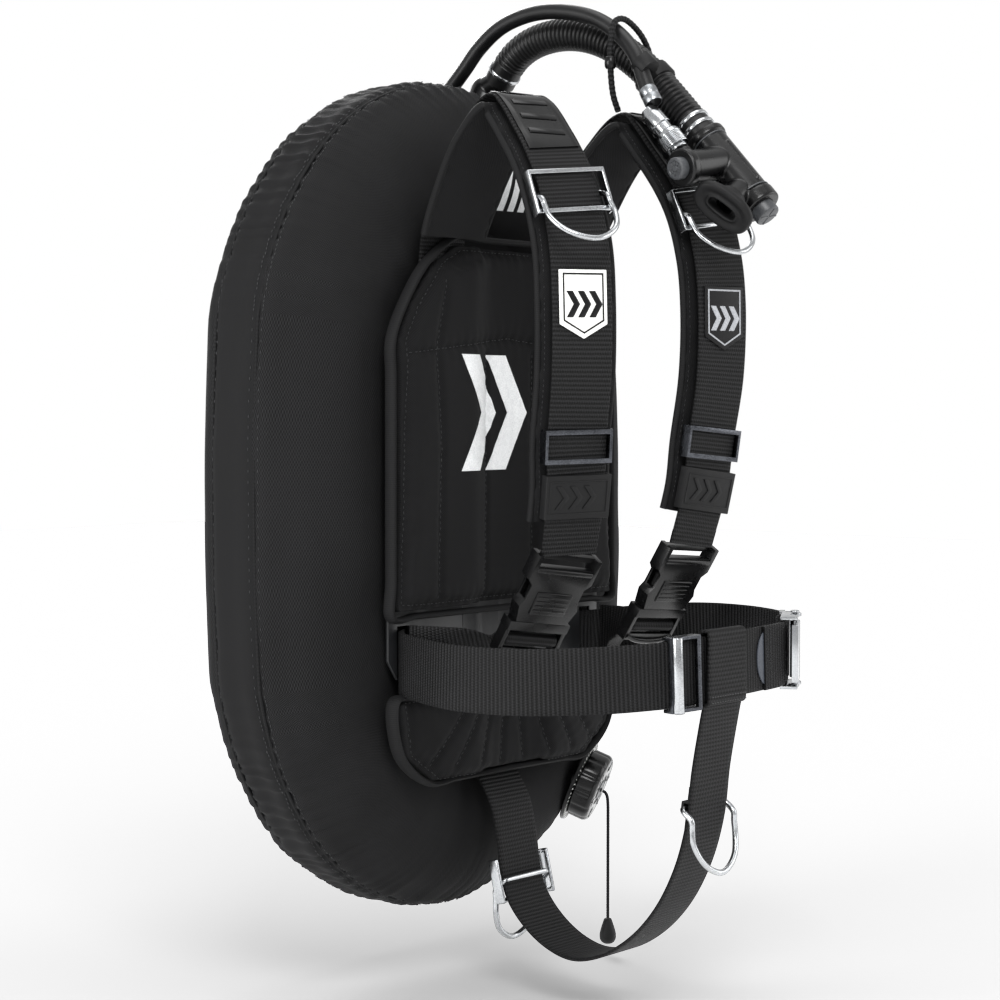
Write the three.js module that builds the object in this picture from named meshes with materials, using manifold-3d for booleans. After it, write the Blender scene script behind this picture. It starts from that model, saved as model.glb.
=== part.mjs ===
// Back-plate harness with an inflated donut wing: a diver's buoyancy compensator.
// Millimetres, +Z up. The wearer stands on the -Y side and the tank lies on the +Y side.
// The origin is the middle of the tank face: the rear of the wing's centre panel, half way
// between the two rows of plate bolts. The wearer's right is -X.
import * as THREE from "three";
import { mergeVertices } from "three/addons/utils/BufferGeometryUtils.js";
import Module from "manifold-3d";

const wasm = await Module();
wasm.setup();

// ---- driving dimensions -------------------------------------------------------------
const GAP = 0.4; // clearance between pieces that touch

const WEB_WIDTH = 50.8; // two-inch webbing
const WEB_THICK = 2.5;

const LOBE_RADIUS = 78; // inflated wing lobe
const LOBE_OFFSET = 148; // lobe centre line, sideways
const LOBE_BACK = 59; // lobe centre line, behind the tank face
const WING_HALF_HEIGHT = 271; // lobe centre line, upwards
const WING_END_RISE = 180; // height of the rounded ends of the lobe line
const SHELL_WALL = 2;
const BLADDER_WALL = 1.6;
const PANEL_THICK = 2; // centre panel between the lobes

const PLATE_THICK = 3;
const PLATE_WIDTH = 270;
const PLATE_HEIGHT = 396;
const CHANNEL_HALF = 25; // flat floor of the spine channel
const CHANNEL_RUN = 22; // sideways run of the channel's slope
const CHANNEL_DEPTH = 19;
const BOLT_ROW = 139.7; // eleven-inch bolt spacing, halved
const BOLT_RADIUS = 4;
const SLOT_HEIGHT = 14;

const BACK_PAD = { half: 142, low: -92, high: 213, thick: 17 };
const LUMBAR_PAD = { half: 140, low: -226, high: -156, thick: 19 };
const SHOULDER_PAD = { width: 66, thick: 8 };

const GLIDE = { rail: 2.4, bar: 3, height: 36 }; // strap slides
const RING_WIRE = 4.4; // D-ring wire
const RING_SLACK = 0.9; // room between a ring and the webbing it carries

const HOSE_RADIUS = 14; // corrugated inflator hose
const LP_RADIUS = 6.5; // low-pressure hose
const BUNGEE_RADIUS = 2.6;

const INFLATOR = { radius: 15.5, length: 74, branch: 52, branchRadius: 13.5, bore: 9 };
const BUTTON = { inflate: 9, deflate: 10.5, inflateTravel: 4, deflateTravel: 5 };

const VALVE = { angle: 48, outward: 44, flange: 37, neck: 19, cap: 30.5 };

// ---- places -------------------------------------------------------------------------
const plateBack = -PANEL_THICK - GAP; // rear of the plate's spine
const plateFront = plateBack - PLATE_THICK - CHANNEL_DEPTH; // front of the plate's sides
// Webbing behind the plate's sides: half a thickness to its centre and half for its bend.
const behindPlate = plateFront + PLATE_THICK + WEB_THICK;
const SHOULDER_SLOT = { x: 76, z: 166 };
const WAIST_SLOT = { x: 117, z: -127 };
const CROTCH_SLOT = { x: 0, z: -182 };

const object = new THREE.Group();

// ---- finishes -----------------------------------------------------------------------
const finish = (color, roughness, metalness = 0) =>
  new THREE.MeshStandardMaterial({ color, roughness, metalness });
const cordura = finish(0x1b1b1c, 0.9);
const liner = finish(0x5c6064, 0.6);
const padCloth = finish(0x232324, 0.92);
const webbing = finish(0x19191a, 0.8);
const steel = finish(0xc9cccf, 0.22, 1);
const darkSteel = finish(0x4a4c50, 0.35, 1);
const blackPlastic = finish(0x121213, 0.35);
const greyPlastic = finish(0x5b5e62, 0.5);
const rubber = finish(0x2b2c2e, 0.75);

// ---- solid modelling helpers --------------------------------------------------------
function toSolid(geometry) {
  const bare = geometry.clone();
  bare.deleteAttribute("normal");
  bare.deleteAttribute("uv");
  const merged = mergeVertices(bare, 1e-4);
  const vertProperties = new Float32Array(merged.attributes.position.array);
  const triVerts = new Uint32Array(merged.index.array);
  return new wasm.Manifold(new wasm.Mesh({ numProp: 3, vertProperties, triVerts }));
}

function toGeometry(solid) {
  const mesh = solid.getMesh();
  const geometry = new THREE.BufferGeometry();
  geometry.setAttribute("position", new THREE.BufferAttribute(mesh.vertProperties, 3));
  geometry.setIndex(new THREE.BufferAttribute(mesh.triVerts, 1));
  geometry.computeVertexNormals();
  return geometry;
}

const join = (...shapes) => toGeometry(shapes.map(toSolid).reduce((sum, next) => sum.add(next)));
const cut = (base, ...tools) =>
  toGeometry(tools.map(toSolid).reduce((left, tool) => left.subtract(tool), toSolid(base)));
const common = (first, second) => toGeometry(toSolid(first).intersect(toSolid(second)));

function add(name, geometry, material, parent = object) {
  const mesh = new THREE.Mesh(geometry, material);
  mesh.name = name;
  parent.add(mesh);
  return mesh;
}

const box = (sx, sy, sz, x = 0, y = 0, z = 0) =>
  new THREE.BoxGeometry(sx, sy, sz).translate(x, y, z);

// A round bar along one axis, by name.
function rod(radius, length, axis, x = 0, y = 0, z = 0, sides = 16) {
  const bar = new THREE.CylinderGeometry(radius, radius, length, sides);
  if (axis === "x") bar.rotateZ(Math.PI / 2);
  if (axis === "z") bar.rotateX(Math.PI / 2);
  return bar.translate(x, y, z);
}

// A turned piece about Z from [radius, height] corners that start and end on the axis.
function turned(corners, sides = 20) {
  const profile = corners.map(([radius, height]) => new THREE.Vector2(radius, height));
  return new THREE.LatheGeometry(profile, sides).rotateX(Math.PI / 2);
}

// A turned ring about Z with a rectangular section.
function collar(inner, outer, low, high, sides = 20) {
  const corners = [[inner, low], [outer, low], [outer, high], [inner, high], [inner, low]];
  return turned(corners, sides);
}

function roundedRect(width, height, radius) {
  const x = width / 2;
  const y = height / 2;
  const shape = new THREE.Shape();
  shape.moveTo(-x + radius, -y);
  shape.lineTo(x - radius, -y);
  shape.absarc(x - radius, -y + radius, radius, -Math.PI / 2, 0);
  shape.lineTo(x, y - radius);
  shape.absarc(x - radius, y - radius, radius, 0, Math.PI / 2);
  shape.lineTo(-x + radius, y);
  shape.absarc(-x + radius, y - radius, radius, Math.PI / 2, Math.PI);
  shape.lineTo(-x, -y + radius);
  shape.absarc(-x + radius, -y + radius, radius, Math.PI, 1.5 * Math.PI);
  return shape;
}

// A flat shape drawn in X and Z, given thickness from y = front to y = back.
function slab(shape, front, back, curveSegments = 6) {
  const depth = back - front;
  const solid = new THREE.ExtrudeGeometry(shape, { depth, bevelEnabled: false, curveSegments });
  return solid.rotateX(Math.PI / 2).translate(0, back, 0);
}

function outline(corners) {
  return new THREE.Shape(corners.map(([x, y]) => new THREE.Vector2(x, y)));
}

// ---- straps -------------------------------------------------------------------------
// A strap's route: its points, and the heading of its width at each point.
class StrapRoute {
  constructor(points, widths) {
    this.curve = new THREE.CatmullRomCurve3(points, false, "centripetal");
    this.widths = widths;
    this.length = this.curve.getLength();
  }

  // The place, run, width and outer side of the strap at a share of its length.
  at(share) {
    const u = Math.min(Math.max(share, 0), 1);
    const point = this.curve.getPointAt(u);
    const along = this.curve.getTangentAt(u);
    const spot = this.curve.getUtoTmapping(u) * (this.widths.length - 1);
    const index = Math.min(Math.floor(spot), this.widths.length - 2);
    const across = this.widths[index].clone().lerp(this.widths[index + 1], spot - index);
    across.addScaledVector(along, -across.dot(along)).normalize();
    const outward = along.clone().cross(across);
    return { point, along, across, outward };
  }

  // The share of the length that lies nearest to a height, searched between two shares.
  shareNear(axis, value, from, to) {
    let best = from;
    for (let step = 0; step <= 200; step += 1) {
      const share = from + ((to - from) * step) / 200;
      const miss = Math.abs(this.curve.getPointAt(share)[axis] - value);
      if (miss < Math.abs(this.curve.getPointAt(best)[axis] - value)) best = share;
    }
    return best;
  }
}

// Lays a box along part of a route: x runs across, y outwards and z along.
function layAlong(route, { from, to, width, thick, lift = 0, steps }) {
  const band = new THREE.BoxGeometry(1, 1, 1, 1, 1, steps);
  const spots = band.attributes.position;
  for (let index = 0; index < spots.count; index += 1) {
    const share = from + (to - from) * (spots.getZ(index) + 0.5);
    const { point, across, outward } = route.at(share);
    const wide = typeof width === "function" ? width(share) : width;
    point.addScaledVector(across, spots.getX(index) * wide);
    point.addScaledVector(outward, spots.getY(index) * thick + lift);
    spots.setXYZ(index, point.x, point.y, point.z);
  }
  return band;
}

// A group that sits on a strap: x across it, y out of it, z along it, or back along it.
function seatOn(route, share, { lift = 0, backwards = false } = {}) {
  const { point, along, across, outward } = route.at(share);
  const seat = new THREE.Group();
  const turn = backwards ? -1 : 1;
  const basis = new THREE.Matrix4().makeBasis(
    across.clone().multiplyScalar(turn), outward, along.clone().multiplyScalar(turn));
  seat.quaternion.setFromRotationMatrix(basis);
  seat.position.copy(point).addScaledVector(outward, lift);
  object.add(seat);
  return seat;
}

// Adds a piece on its seat, cut clear of the webbing that runs through or under it.
function addFitted(name, geometry, material, seat, route, width = WEB_WIDTH) {
  const webbingRoom = layAlong(route, {
    from: 0, to: 1, width: width + 2 * GAP, thick: WEB_THICK + 2 * GAP, steps: 90,
  });
  add(name, cut(placed(geometry, seat), webbingRoom), material);
}

// A closed tube about a closed loop of points.
function loopTube(points, radius, steps, sides) {
  const curve = new THREE.CatmullRomCurve3(points, true, "centripetal");
  const frames = curve.computeFrenetFrames(steps, true);
  const tube = new THREE.TorusGeometry(1, 0.5, sides, steps);
  const spots = tube.attributes.position;
  const grid = tube.attributes.uv;
  for (let index = 0; index < spots.count; index += 1) {
    const step = Math.round(grid.getX(index) * steps) % steps;
    const angle = grid.getY(index) * 2 * Math.PI;
    const place = curve.getPointAt(step / steps);
    place.addScaledVector(frames.normals[step], radius * Math.cos(angle));
    place.addScaledVector(frames.binormals[step], -radius * Math.sin(angle));
    spots.setXYZ(index, place.x, place.y, place.z);
  }
  return tube;
}

// An open tube about a route of points.
function tubeAlong(points, radius, steps, sides) {
  const extrudePath = new THREE.CatmullRomCurve3(points, false, "centripetal");
  const section = new THREE.Shape().absarc(0, 0, radius, 0, 2 * Math.PI);
  const curveSegments = sides / 2;
  return new THREE.ExtrudeGeometry(section, { steps, extrudePath, curveSegments });
}

const v = (x, y, z) => new THREE.Vector3(x, y, z);
const heading = (degrees) => {
  const angle = THREE.MathUtils.degToRad(degrees);
  return v(Math.cos(angle), Math.sin(angle), 0);
};

// ---- wing ---------------------------------------------------------------------------
// The lobe line: straight sides with half-ellipse ends, as a place and an outward heading.
function lobeLine(share) {
  const straight = WING_HALF_HEIGHT - WING_END_RISE;
  const angle = share * 2 * Math.PI;
  const x = LOBE_OFFSET * Math.cos(angle);
  const rise = Math.sin(angle);
  const z = WING_END_RISE * rise + straight * THREE.MathUtils.clamp(rise * 4, -1, 1);
  const slope = Math.abs(rise) < 0.25 ? 0 : rise / WING_END_RISE;
  const out = v(Math.cos(angle) / LOBE_OFFSET, 0, slope).normalize();
  return { place: v(x, LOBE_BACK, z), out };
}

// A ring about the lobe line, at a radius.
function lobeRing(radius, steps = 30, sides = 12) {
  const ring = new THREE.TorusGeometry(1, 0.5, sides, steps);
  const spots = ring.attributes.position;
  const grid = ring.attributes.uv;
  for (let index = 0; index < spots.count; index += 1) {
    const { place, out } = lobeLine(grid.getX(index) + 0.5 / steps);
    const angle = grid.getY(index) * 2 * Math.PI;
    place.addScaledVector(out, radius * Math.cos(angle));
    place.y -= radius * Math.sin(angle);
    spots.setXYZ(index, place.x, place.y, place.z);
  }
  return ring;
}

// The dump valve's seat on the lobe, and the elbow's seat on top of the wing.
function valveSeat() {
  const { place, out } = lobeLine(1 - VALVE.angle / 360);
  const tilt = Math.asin(VALVE.outward / LOBE_RADIUS);
  const normal = v(0, -Math.cos(tilt), 0).addScaledVector(out, Math.sin(tilt));
  return { position: place.addScaledVector(normal, LOBE_RADIUS), normal };
}

function elbowSeat() {
  const { place, out } = lobeLine(0.2);
  return { position: place.addScaledVector(out, LOBE_RADIUS), normal: out };
}

function seatAt({ position, normal }) {
  const seat = new THREE.Group();
  seat.quaternion.setFromUnitVectors(v(0, 0, 1), normal);
  seat.position.copy(position);
  object.add(seat);
  return seat;
}

function placed(geometry, seat) {
  seat.updateMatrixWorld(true);
  return geometry.clone().applyMatrix4(seat.matrixWorld);
}

const valveGroup = seatAt(valveSeat());
const elbowGroup = seatAt(elbowSeat());
const ELBOW_NECK = 15;

function buildWing() {
  const valveHole = placed(rod(VALVE.neck + GAP, 40, "z"), valveGroup);
  const elbowHole = placed(rod(ELBOW_NECK + GAP, 50, "z"), elbowGroup);
  const bladderRadius = LOBE_RADIUS - SHELL_WALL - GAP;
  const shell = cut(lobeRing(LOBE_RADIUS), lobeRing(LOBE_RADIUS - SHELL_WALL), valveHole, elbowHole);
  add("wing_shell", shell, cordura);
  const bladder = cut(lobeRing(bladderRadius), lobeRing(bladderRadius - BLADDER_WALL),
    valveHole, elbowHole);
  add("air_bladder", bladder, liner);

  const panelShape = roundedRect(2 * LOBE_OFFSET, 2 * WING_HALF_HEIGHT - 60, 100);
  // The middle of the panel stands a little proud, where a tank rests.
  const tankFace = box(110, PANEL_THICK, 230, 0, -PANEL_THICK / 2, 0);
  const panelBlank = join(slab(panelShape, -PANEL_THICK, -0.3, 8), tankFace);
  const boltHoles = [BOLT_ROW, -BOLT_ROW].map((z) => rod(BOLT_RADIUS + GAP, 12, "y", 0, 0, z));
  const strapNotch = box(WEB_WIDTH + 2, 12, 60, CROTCH_SLOT.x, 0, CROTCH_SLOT.z - 3 - 30);
  const panel = cut(panelBlank, lobeRing(LOBE_RADIUS + GAP), strapNotch, ...boltHoles);
  add("wing_centre_panel", panel, cordura);
}

// ---- back plate ---------------------------------------------------------------------
function buildPlate() {
  const edge = PLATE_WIDTH / 2;
  const top = PLATE_HEIGHT / 2;
  const section = new THREE.Shape([
    [-edge, -CHANNEL_DEPTH], [-CHANNEL_HALF - CHANNEL_RUN, -CHANNEL_DEPTH], [-CHANNEL_HALF, 0],
    [CHANNEL_HALF, 0], [CHANNEL_HALF + CHANNEL_RUN, -CHANNEL_DEPTH], [edge, -CHANNEL_DEPTH],
    [edge, -CHANNEL_DEPTH - PLATE_THICK],
    [CHANNEL_HALF + CHANNEL_RUN - 1.6, -CHANNEL_DEPTH - PLATE_THICK],
    [CHANNEL_HALF - 1.6, -PLATE_THICK], [-CHANNEL_HALF + 1.6, -PLATE_THICK],
    [-CHANNEL_HALF - CHANNEL_RUN + 1.6, -CHANNEL_DEPTH - PLATE_THICK],
    [-edge, -CHANNEL_DEPTH - PLATE_THICK],
  ].map(([x, y]) => new THREE.Vector2(x, y)));
  const bent = new THREE.ExtrudeGeometry(section, { depth: PLATE_HEIGHT, bevelEnabled: false })
    .translate(0, plateBack, -top);
  const plan = slab(outline([
    [-60, -top], [60, -top], [100, -top + 22], [edge, -top + 72], [edge, 96], [96, top - 12],
    [70, top], [-70, top], [-96, top - 12], [-edge, 96], [-edge, -top + 72], [-100, -top + 22],
  ]), -80, 20);
  const across = WEB_WIDTH + 6;
  const sideSlots = [-1, 1].flatMap((side) => [
    box(across, 60, SLOT_HEIGHT, side * SHOULDER_SLOT.x, -20, SHOULDER_SLOT.z),
    box(SLOT_HEIGHT, 60, across, side * WAIST_SLOT.x, -20, WAIST_SLOT.z),
  ]);
  const crotchSlot = box(across, 60, SLOT_HEIGHT, CROTCH_SLOT.x, 0, CROTCH_SLOT.z);
  const boltHoles = [-1, 1].map((row) => rod(BOLT_RADIUS + GAP, 60, "y", 0, 0, row * BOLT_ROW));
  const plate = cut(common(bent, plan), ...sideSlots, crotchSlot, ...boltHoles);
  add("back_plate", plate, darkSteel);
}

function buildBookScrews() {
  const stack = PLATE_THICK + PANEL_THICK + GAP;
  const mid = -stack / 2;
  for (const [row, name] of [[1, "upper"], [-1, "lower"]]) {
    const z = row * BOLT_ROW;
    const head = rod(9, 2.2, "y", 0, plateBack - PLATE_THICK - GAP - 1.1, z);
    const shank = rod(2.6, stack + 3.4, "y", 0, mid + 0.3, z, 12);
    add(`${name}_book_screw`, join(head, shank), steel);
    const flange = rod(9, 2.2, "y", 0, GAP + 1.1, z);
    const barrel = rod(BOLT_RADIUS, stack + 0.6, "y", 0, mid + 0.5, z);
    const bore = rod(2.6 + GAP, stack + 30, "y", 0, 0, z, 12);
    add(`${name}_book_nut`, cut(join(flange, barrel), bore), steel);
  }
}

// ---- pads ---------------------------------------------------------------------------
// A back cushion: a long block with a hollow down the spine, trimmed to an outline.
function cushion({ thick }, planCorners, hollowDepth) {
  const back = plateFront - GAP;
  const front = back - thick;
  const section = new THREE.Shape([
    [-200, back], [200, back], [200, front], [52, front], [26, front + hollowDepth],
    [-26, front + hollowDepth], [-52, front], [-200, front],
  ].map(([x, y]) => new THREE.Vector2(x, y)));
  const block = new THREE.ExtrudeGeometry(section, { depth: 600, bevelEnabled: false })
    .translate(0, 0, -300);
  return common(block, slab(outline(planCorners), front - 20, back + 20));
}

// ---- shoulder harness ---------------------------------------------------------------
// The webbing's route from behind the plate, through its slot, over the shoulder and down.
const strapRear = behindPlate + 0.1;
const SHOULDER_POINTS = [
  [76, strapRear, 118], [76, strapRear, 157], [76, -22.9, 166], [76, -26.6, 174.5],
  [76, -30, 208], [78, -50, 250], [80, -78, 291], [82, -112, 315], [85, -142, 286], [90, -168, 244],
  [92, -181, 200], [93, -185, 157], [92, -184, 100], [89, -177, 46], [86, -174, 10],
  [81, -163, -38],
];
const SHOULDER_TURN = {
  right: [0, 0, 0, 0, -2, -8, -14, -19, -22, -24, -25, -25, -25, -24, -22, -18],
  left: [0, 0, 0, 0, -2, -6, -10, -12, -14, -15, -15, -15, -14, -12, -10, -8],
};
const SIDES = [{ side: -1, name: "right" }, { side: 1, name: "left" }];
const padLift = -(WEB_THICK / 2 + RING_SLACK + RING_WIRE + GAP + SHOULDER_PAD.thick / 2);

const shoulderRoutes = Object.fromEntries(SIDES.map(({ side, name }) => [name, new StrapRoute(
  SHOULDER_POINTS.map(([x, y, z]) => v(side * x, y, z)), SHOULDER_TURN[name].map(heading))]));

// A strap slide: two rails, two bars on the outer side and one behind the webbing.
function glide({ stack = WEB_THICK, half = WEB_WIDTH / 2 + 0.8, backBar = true, height, bar }) {
  const tall = height ?? GLIDE.height;
  const thick = bar ?? GLIDE.bar;
  const reach = stack / 2 + GAP + thick;
  const span = 2 * (half + GLIDE.rail);
  const parts = [-1, 1].flatMap((end) => [
    box(GLIDE.rail, 2 * reach, tall, end * (half + GLIDE.rail / 2), 0, 0),
    box(span, thick, 3.6, 0, reach - thick / 2, end * (tall / 2 - 1.8)),
  ]);
  if (backBar) parts.push(box(span, thick, 5, 0, -reach + thick / 2, 0));
  return join(...parts);
}

// A D-ring whose straight bar lies behind the webbing. It hangs towards +z, bent outwards.
const RING_HALF = WEB_WIDTH / 2 + RING_SLACK + RING_WIRE / 2;
const ringAxis = (stack = WEB_THICK) => -(stack / 2 + RING_SLACK + RING_WIRE / 2);
function dRing(stack = WEB_THICK) {
  const bar = ringAxis(stack);
  const rest = stack / 2 + GAP + GLIDE.bar + GAP + RING_WIRE / 2;
  const half = [
    [RING_HALF - 9, bar, 0], [RING_HALF - 2, bar + 0.4, 0.4], [RING_HALF, bar + 3.4, 2],
    [RING_HALF, rest - 1, 7], [RING_HALF, rest + 0.5, 14], [RING_HALF, rest + 3, 24],
    [RING_HALF - 6, rest + 8.5, 37], [RING_HALF - 17, rest + 12, 45],
  ];
  const points = [
    ...half.map(([x, y, z]) => v(x, y, z)),
    v(0, rest + 13.5, 48),
    ...half.slice().reverse().map(([x, y, z]) => v(-x, y, z)),
    v(0, bar, 0),
  ];
  return loopTube(points, RING_WIRE / 2, 30, 6);
}

function ringGlide() {
  return glide({ half: RING_HALF + RING_WIRE / 2 + GAP, backBar: false });
}

function buildShoulder({ name }) {
  const route = shoulderRoutes[name];
  const frontFrom = 0.45;
  const seatShare = (z) => route.shareNear("z", z, frontFrom, 1);

  const upper = layAlong(route, { from: 0, to: 1, width: WEB_WIDTH, thick: WEB_THICK, steps: 54 });
  add(`${name}_shoulder_webbing`, upper, webbing);

  const padFrom = route.shareNear("z", 216, 0, 0.4);
  const padTo = seatShare(-14);
  const padWidth = (share) => SHOULDER_PAD.width + 16 * Math.max(0, 0.36 - share);
  add(`${name}_shoulder_pad`, layAlong(route, {
    from: padFrom, to: padTo, width: padWidth, thick: SHOULDER_PAD.thick, lift: padLift, steps: 34,
  }), padCloth);

  const ringSeat = seatOn(route, seatShare(238));
  addFitted(`${name}_ring_slide`, ringGlide(), steel, ringSeat, route);
  add(`${name}_chest_ring`, dRing(), steel, ringSeat);

  const slideSeat = seatOn(route, seatShare(46));
  addFitted(`${name}_strap_slide`, glide({ height: 26 }), darkSteel, slideSeat, route);

  const keeperSeat = seatOn(route, seatShare(7));
  const sleeve = box(WEB_WIDTH + 2 * GAP + 5, WEB_THICK + 2 * GAP + 5, 34);
  addFitted(`${name}_strap_keeper`, sleeve, rubber, keeperSeat, route);
}

// ---- side-release buckles -----------------------------------------------------------
// Each buckle runs on from the end of the shoulder webbing, down and back towards the plate.
const BUCKLE = { width: 61, thick: 12, female: 46, travel: 30 };
const BUCKLE_POINTS = [[81, -163, -38], [80.5, -146, -66], [80, -124, -104]];

function buckleSeat({ side, name }) {
  const turn = SHOULDER_TURN[name][SHOULDER_TURN[name].length - 1];
  const route = new StrapRoute(BUCKLE_POINTS.map(([x, y, z]) => v(side * x, y, z)),
    BUCKLE_POINTS.map(() => heading(turn)));
  return { route, seat: seatOn(route, 0) };
}

function buildBuckle(sideInfo) {
  const { name } = sideInfo;
  const { seat } = buckleSeat(sideInfo);
  const half = BUCKLE.width / 2;
  const { thick, female } = BUCKLE;
  // Ladder lock: two posts and two bars, with the webbing's end round the first bar.
  const throat = 2.9;
  const posts = [-1, 1].map((end) => box(4, thick, 15, end * (half - 2), 0, throat + 5.2));
  const bars = [box(2 * half, 4.4, 4.4, 0, -2, throat), box(2 * half, 5, 4, 0, 2.5, throat + 9)];
  const bodyShape = outline([
    [-half, 14], [half, 14], [half, 22], [half - 5, 27], [half - 5, 40], [half - 2, 46],
    [half - 6, 14 + female], [-half + 6, 14 + female], [-half + 2, 46], [-half + 5, 40],
    [-half + 5, 27], [-half, 22],
  ]);
  const body = new THREE.ExtrudeGeometry(bodyShape, { depth: thick, bevelEnabled: false })
    .rotateX(Math.PI / 2).translate(0, thick / 2, 0);
  const socket = box(2 * half - 18, thick - 4.4, 60, 0, 0, 21 + 30);
  const windows = [-1, 1].map((end) => box(18, thick - 4.4, 14, end * (half - 3), 0, 33));
  addFitted(`${name}_buckle_socket`, cut(join(body, ...posts, ...bars), socket, ...windows),
    blackPlastic, seat, shoulderRoutes[name]);

  // Plug: a bridge with a webbing bar and two sprung prongs.
  const mouth = 14 + female + GAP;
  const prongWidth = 6.4;
  const inner = 2 * half - 18 - 2 * GAP;
  const prongs = [-1, 1].map((end) =>
    box(prongWidth, thick - 6, 36, end * (inner / 2 - prongWidth / 2), 0, mouth - 16));
  const guide = box(6, thick - 6, 32, 0, 0, mouth - 14);
  const bridge = box(2 * half - 3, thick, 8, 0, 0, mouth + 4);
  const ears = [-1, 1].map((end) => box(3.6, thick - 2, 24, end * (half - 3.3), 0, mouth + 19));
  const bar = box(2 * half - 4, 4, 4, 0, 0, mouth + 18);
  const lip = box(2 * half - 4, 3.4, 6, 0, 3.2, mouth + 28);
  add(`${name}_buckle_plug`, join(...prongs, guide, bridge, ...ears, bar, lip), blackPlastic, seat);
  return mouth;
}


// The lower strap starts on the inner face of the belt and ends in a loop round the plug's bar.
function buildLowerStrap({ side, name }, mouth) {
  const { seat } = buckleSeat({ side, name });
  seat.updateMatrixWorld(true);
  const loopInner = 3.2;
  const loop = placed(cut(
    rod(loopInner + WEB_THICK, WEB_WIDTH - 1.6, "x", 0, 0, mouth + 18),
    rod(loopInner, WEB_WIDTH + 4, "x", 0, 0, mouth + 18)), seat);
  const end = v(0, -loopInner - WEB_THICK / 2, mouth + 19).applyMatrix4(seat.matrixWorld);
  const points = [
    v(side * 123.5, -38, -121), v(side * 121, -50, -121), v(side * 112, -68, -120),
    v(side * 100, -86, -117), v(side * 89, -102, -114), end,
  ];
  const across = v(1, 0, 0).applyQuaternion(seat.quaternion);
  const upright = v(0, 0, side);
  const lean = (share) => upright.clone().lerp(across.clone().multiplyScalar(1), share);
  const route = new StrapRoute(points, [0, 0.05, 0.3, 0.6, 0.9, 1].map(lean));
  const ribbon = layAlong(route, {
    from: 0, to: 1, width: WEB_WIDTH - 1.6, thick: WEB_THICK, steps: 16,
  });
  const rooms = [
    rod(loopInner, WEB_WIDTH + 4, "x", 0, 0, mouth + 18),
    box(BUCKLE.width, BUCKLE.thick + 1, 9.2, 0, 0, mouth + 4),
    ...[-1, 1].map((end) => box(20, BUCKLE.thick + 6, 34, end * (WEB_WIDTH / 2 + 9.6), 0, mouth + 16)),
  ].map((room) => placed(room, seat));
  add(`${name}_lower_strap`, cut(join(ribbon, loop), ...rooms), webbing);
}

// ---- waist belt ---------------------------------------------------------------------
const beltRear = behindPlate - 0.3;
const BELT_POINTS = [
  [-90, beltRear, -127], [-109, beltRear, -127], [-117, -22.9, -127], [-125, -28, -127.5],
  [-138, -58, -129], [-148, -108, -131], [-137, -164, -131], [-105, -211, -129],
  [-72, -237, -127], [-45, -247, -126], [0, -250, -124], [45, -252, -122.5], [80, -252, -121],
  [96, -246.1, -120.5], [110, -238, -120], [124, -229.9, -119.5], [139, -212, -118.5],
  [150, -172, -117], [154, -115, -118], [140, -60, -123],
  [125, -28, -127], [117, -22.9, -127], [109, beltRear, -127], [90, beltRear, -127],
];
const beltRoute = new StrapRoute(BELT_POINTS.map(([x, y, z]) => v(x, y, z)),
  BELT_POINTS.map(() => v(0, 0, 1)));
const LEVER = { pinLift: 6.4, pinRun: 9, pinRadius: 2, knuckle: 4, length: 34, width: 46 };

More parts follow.
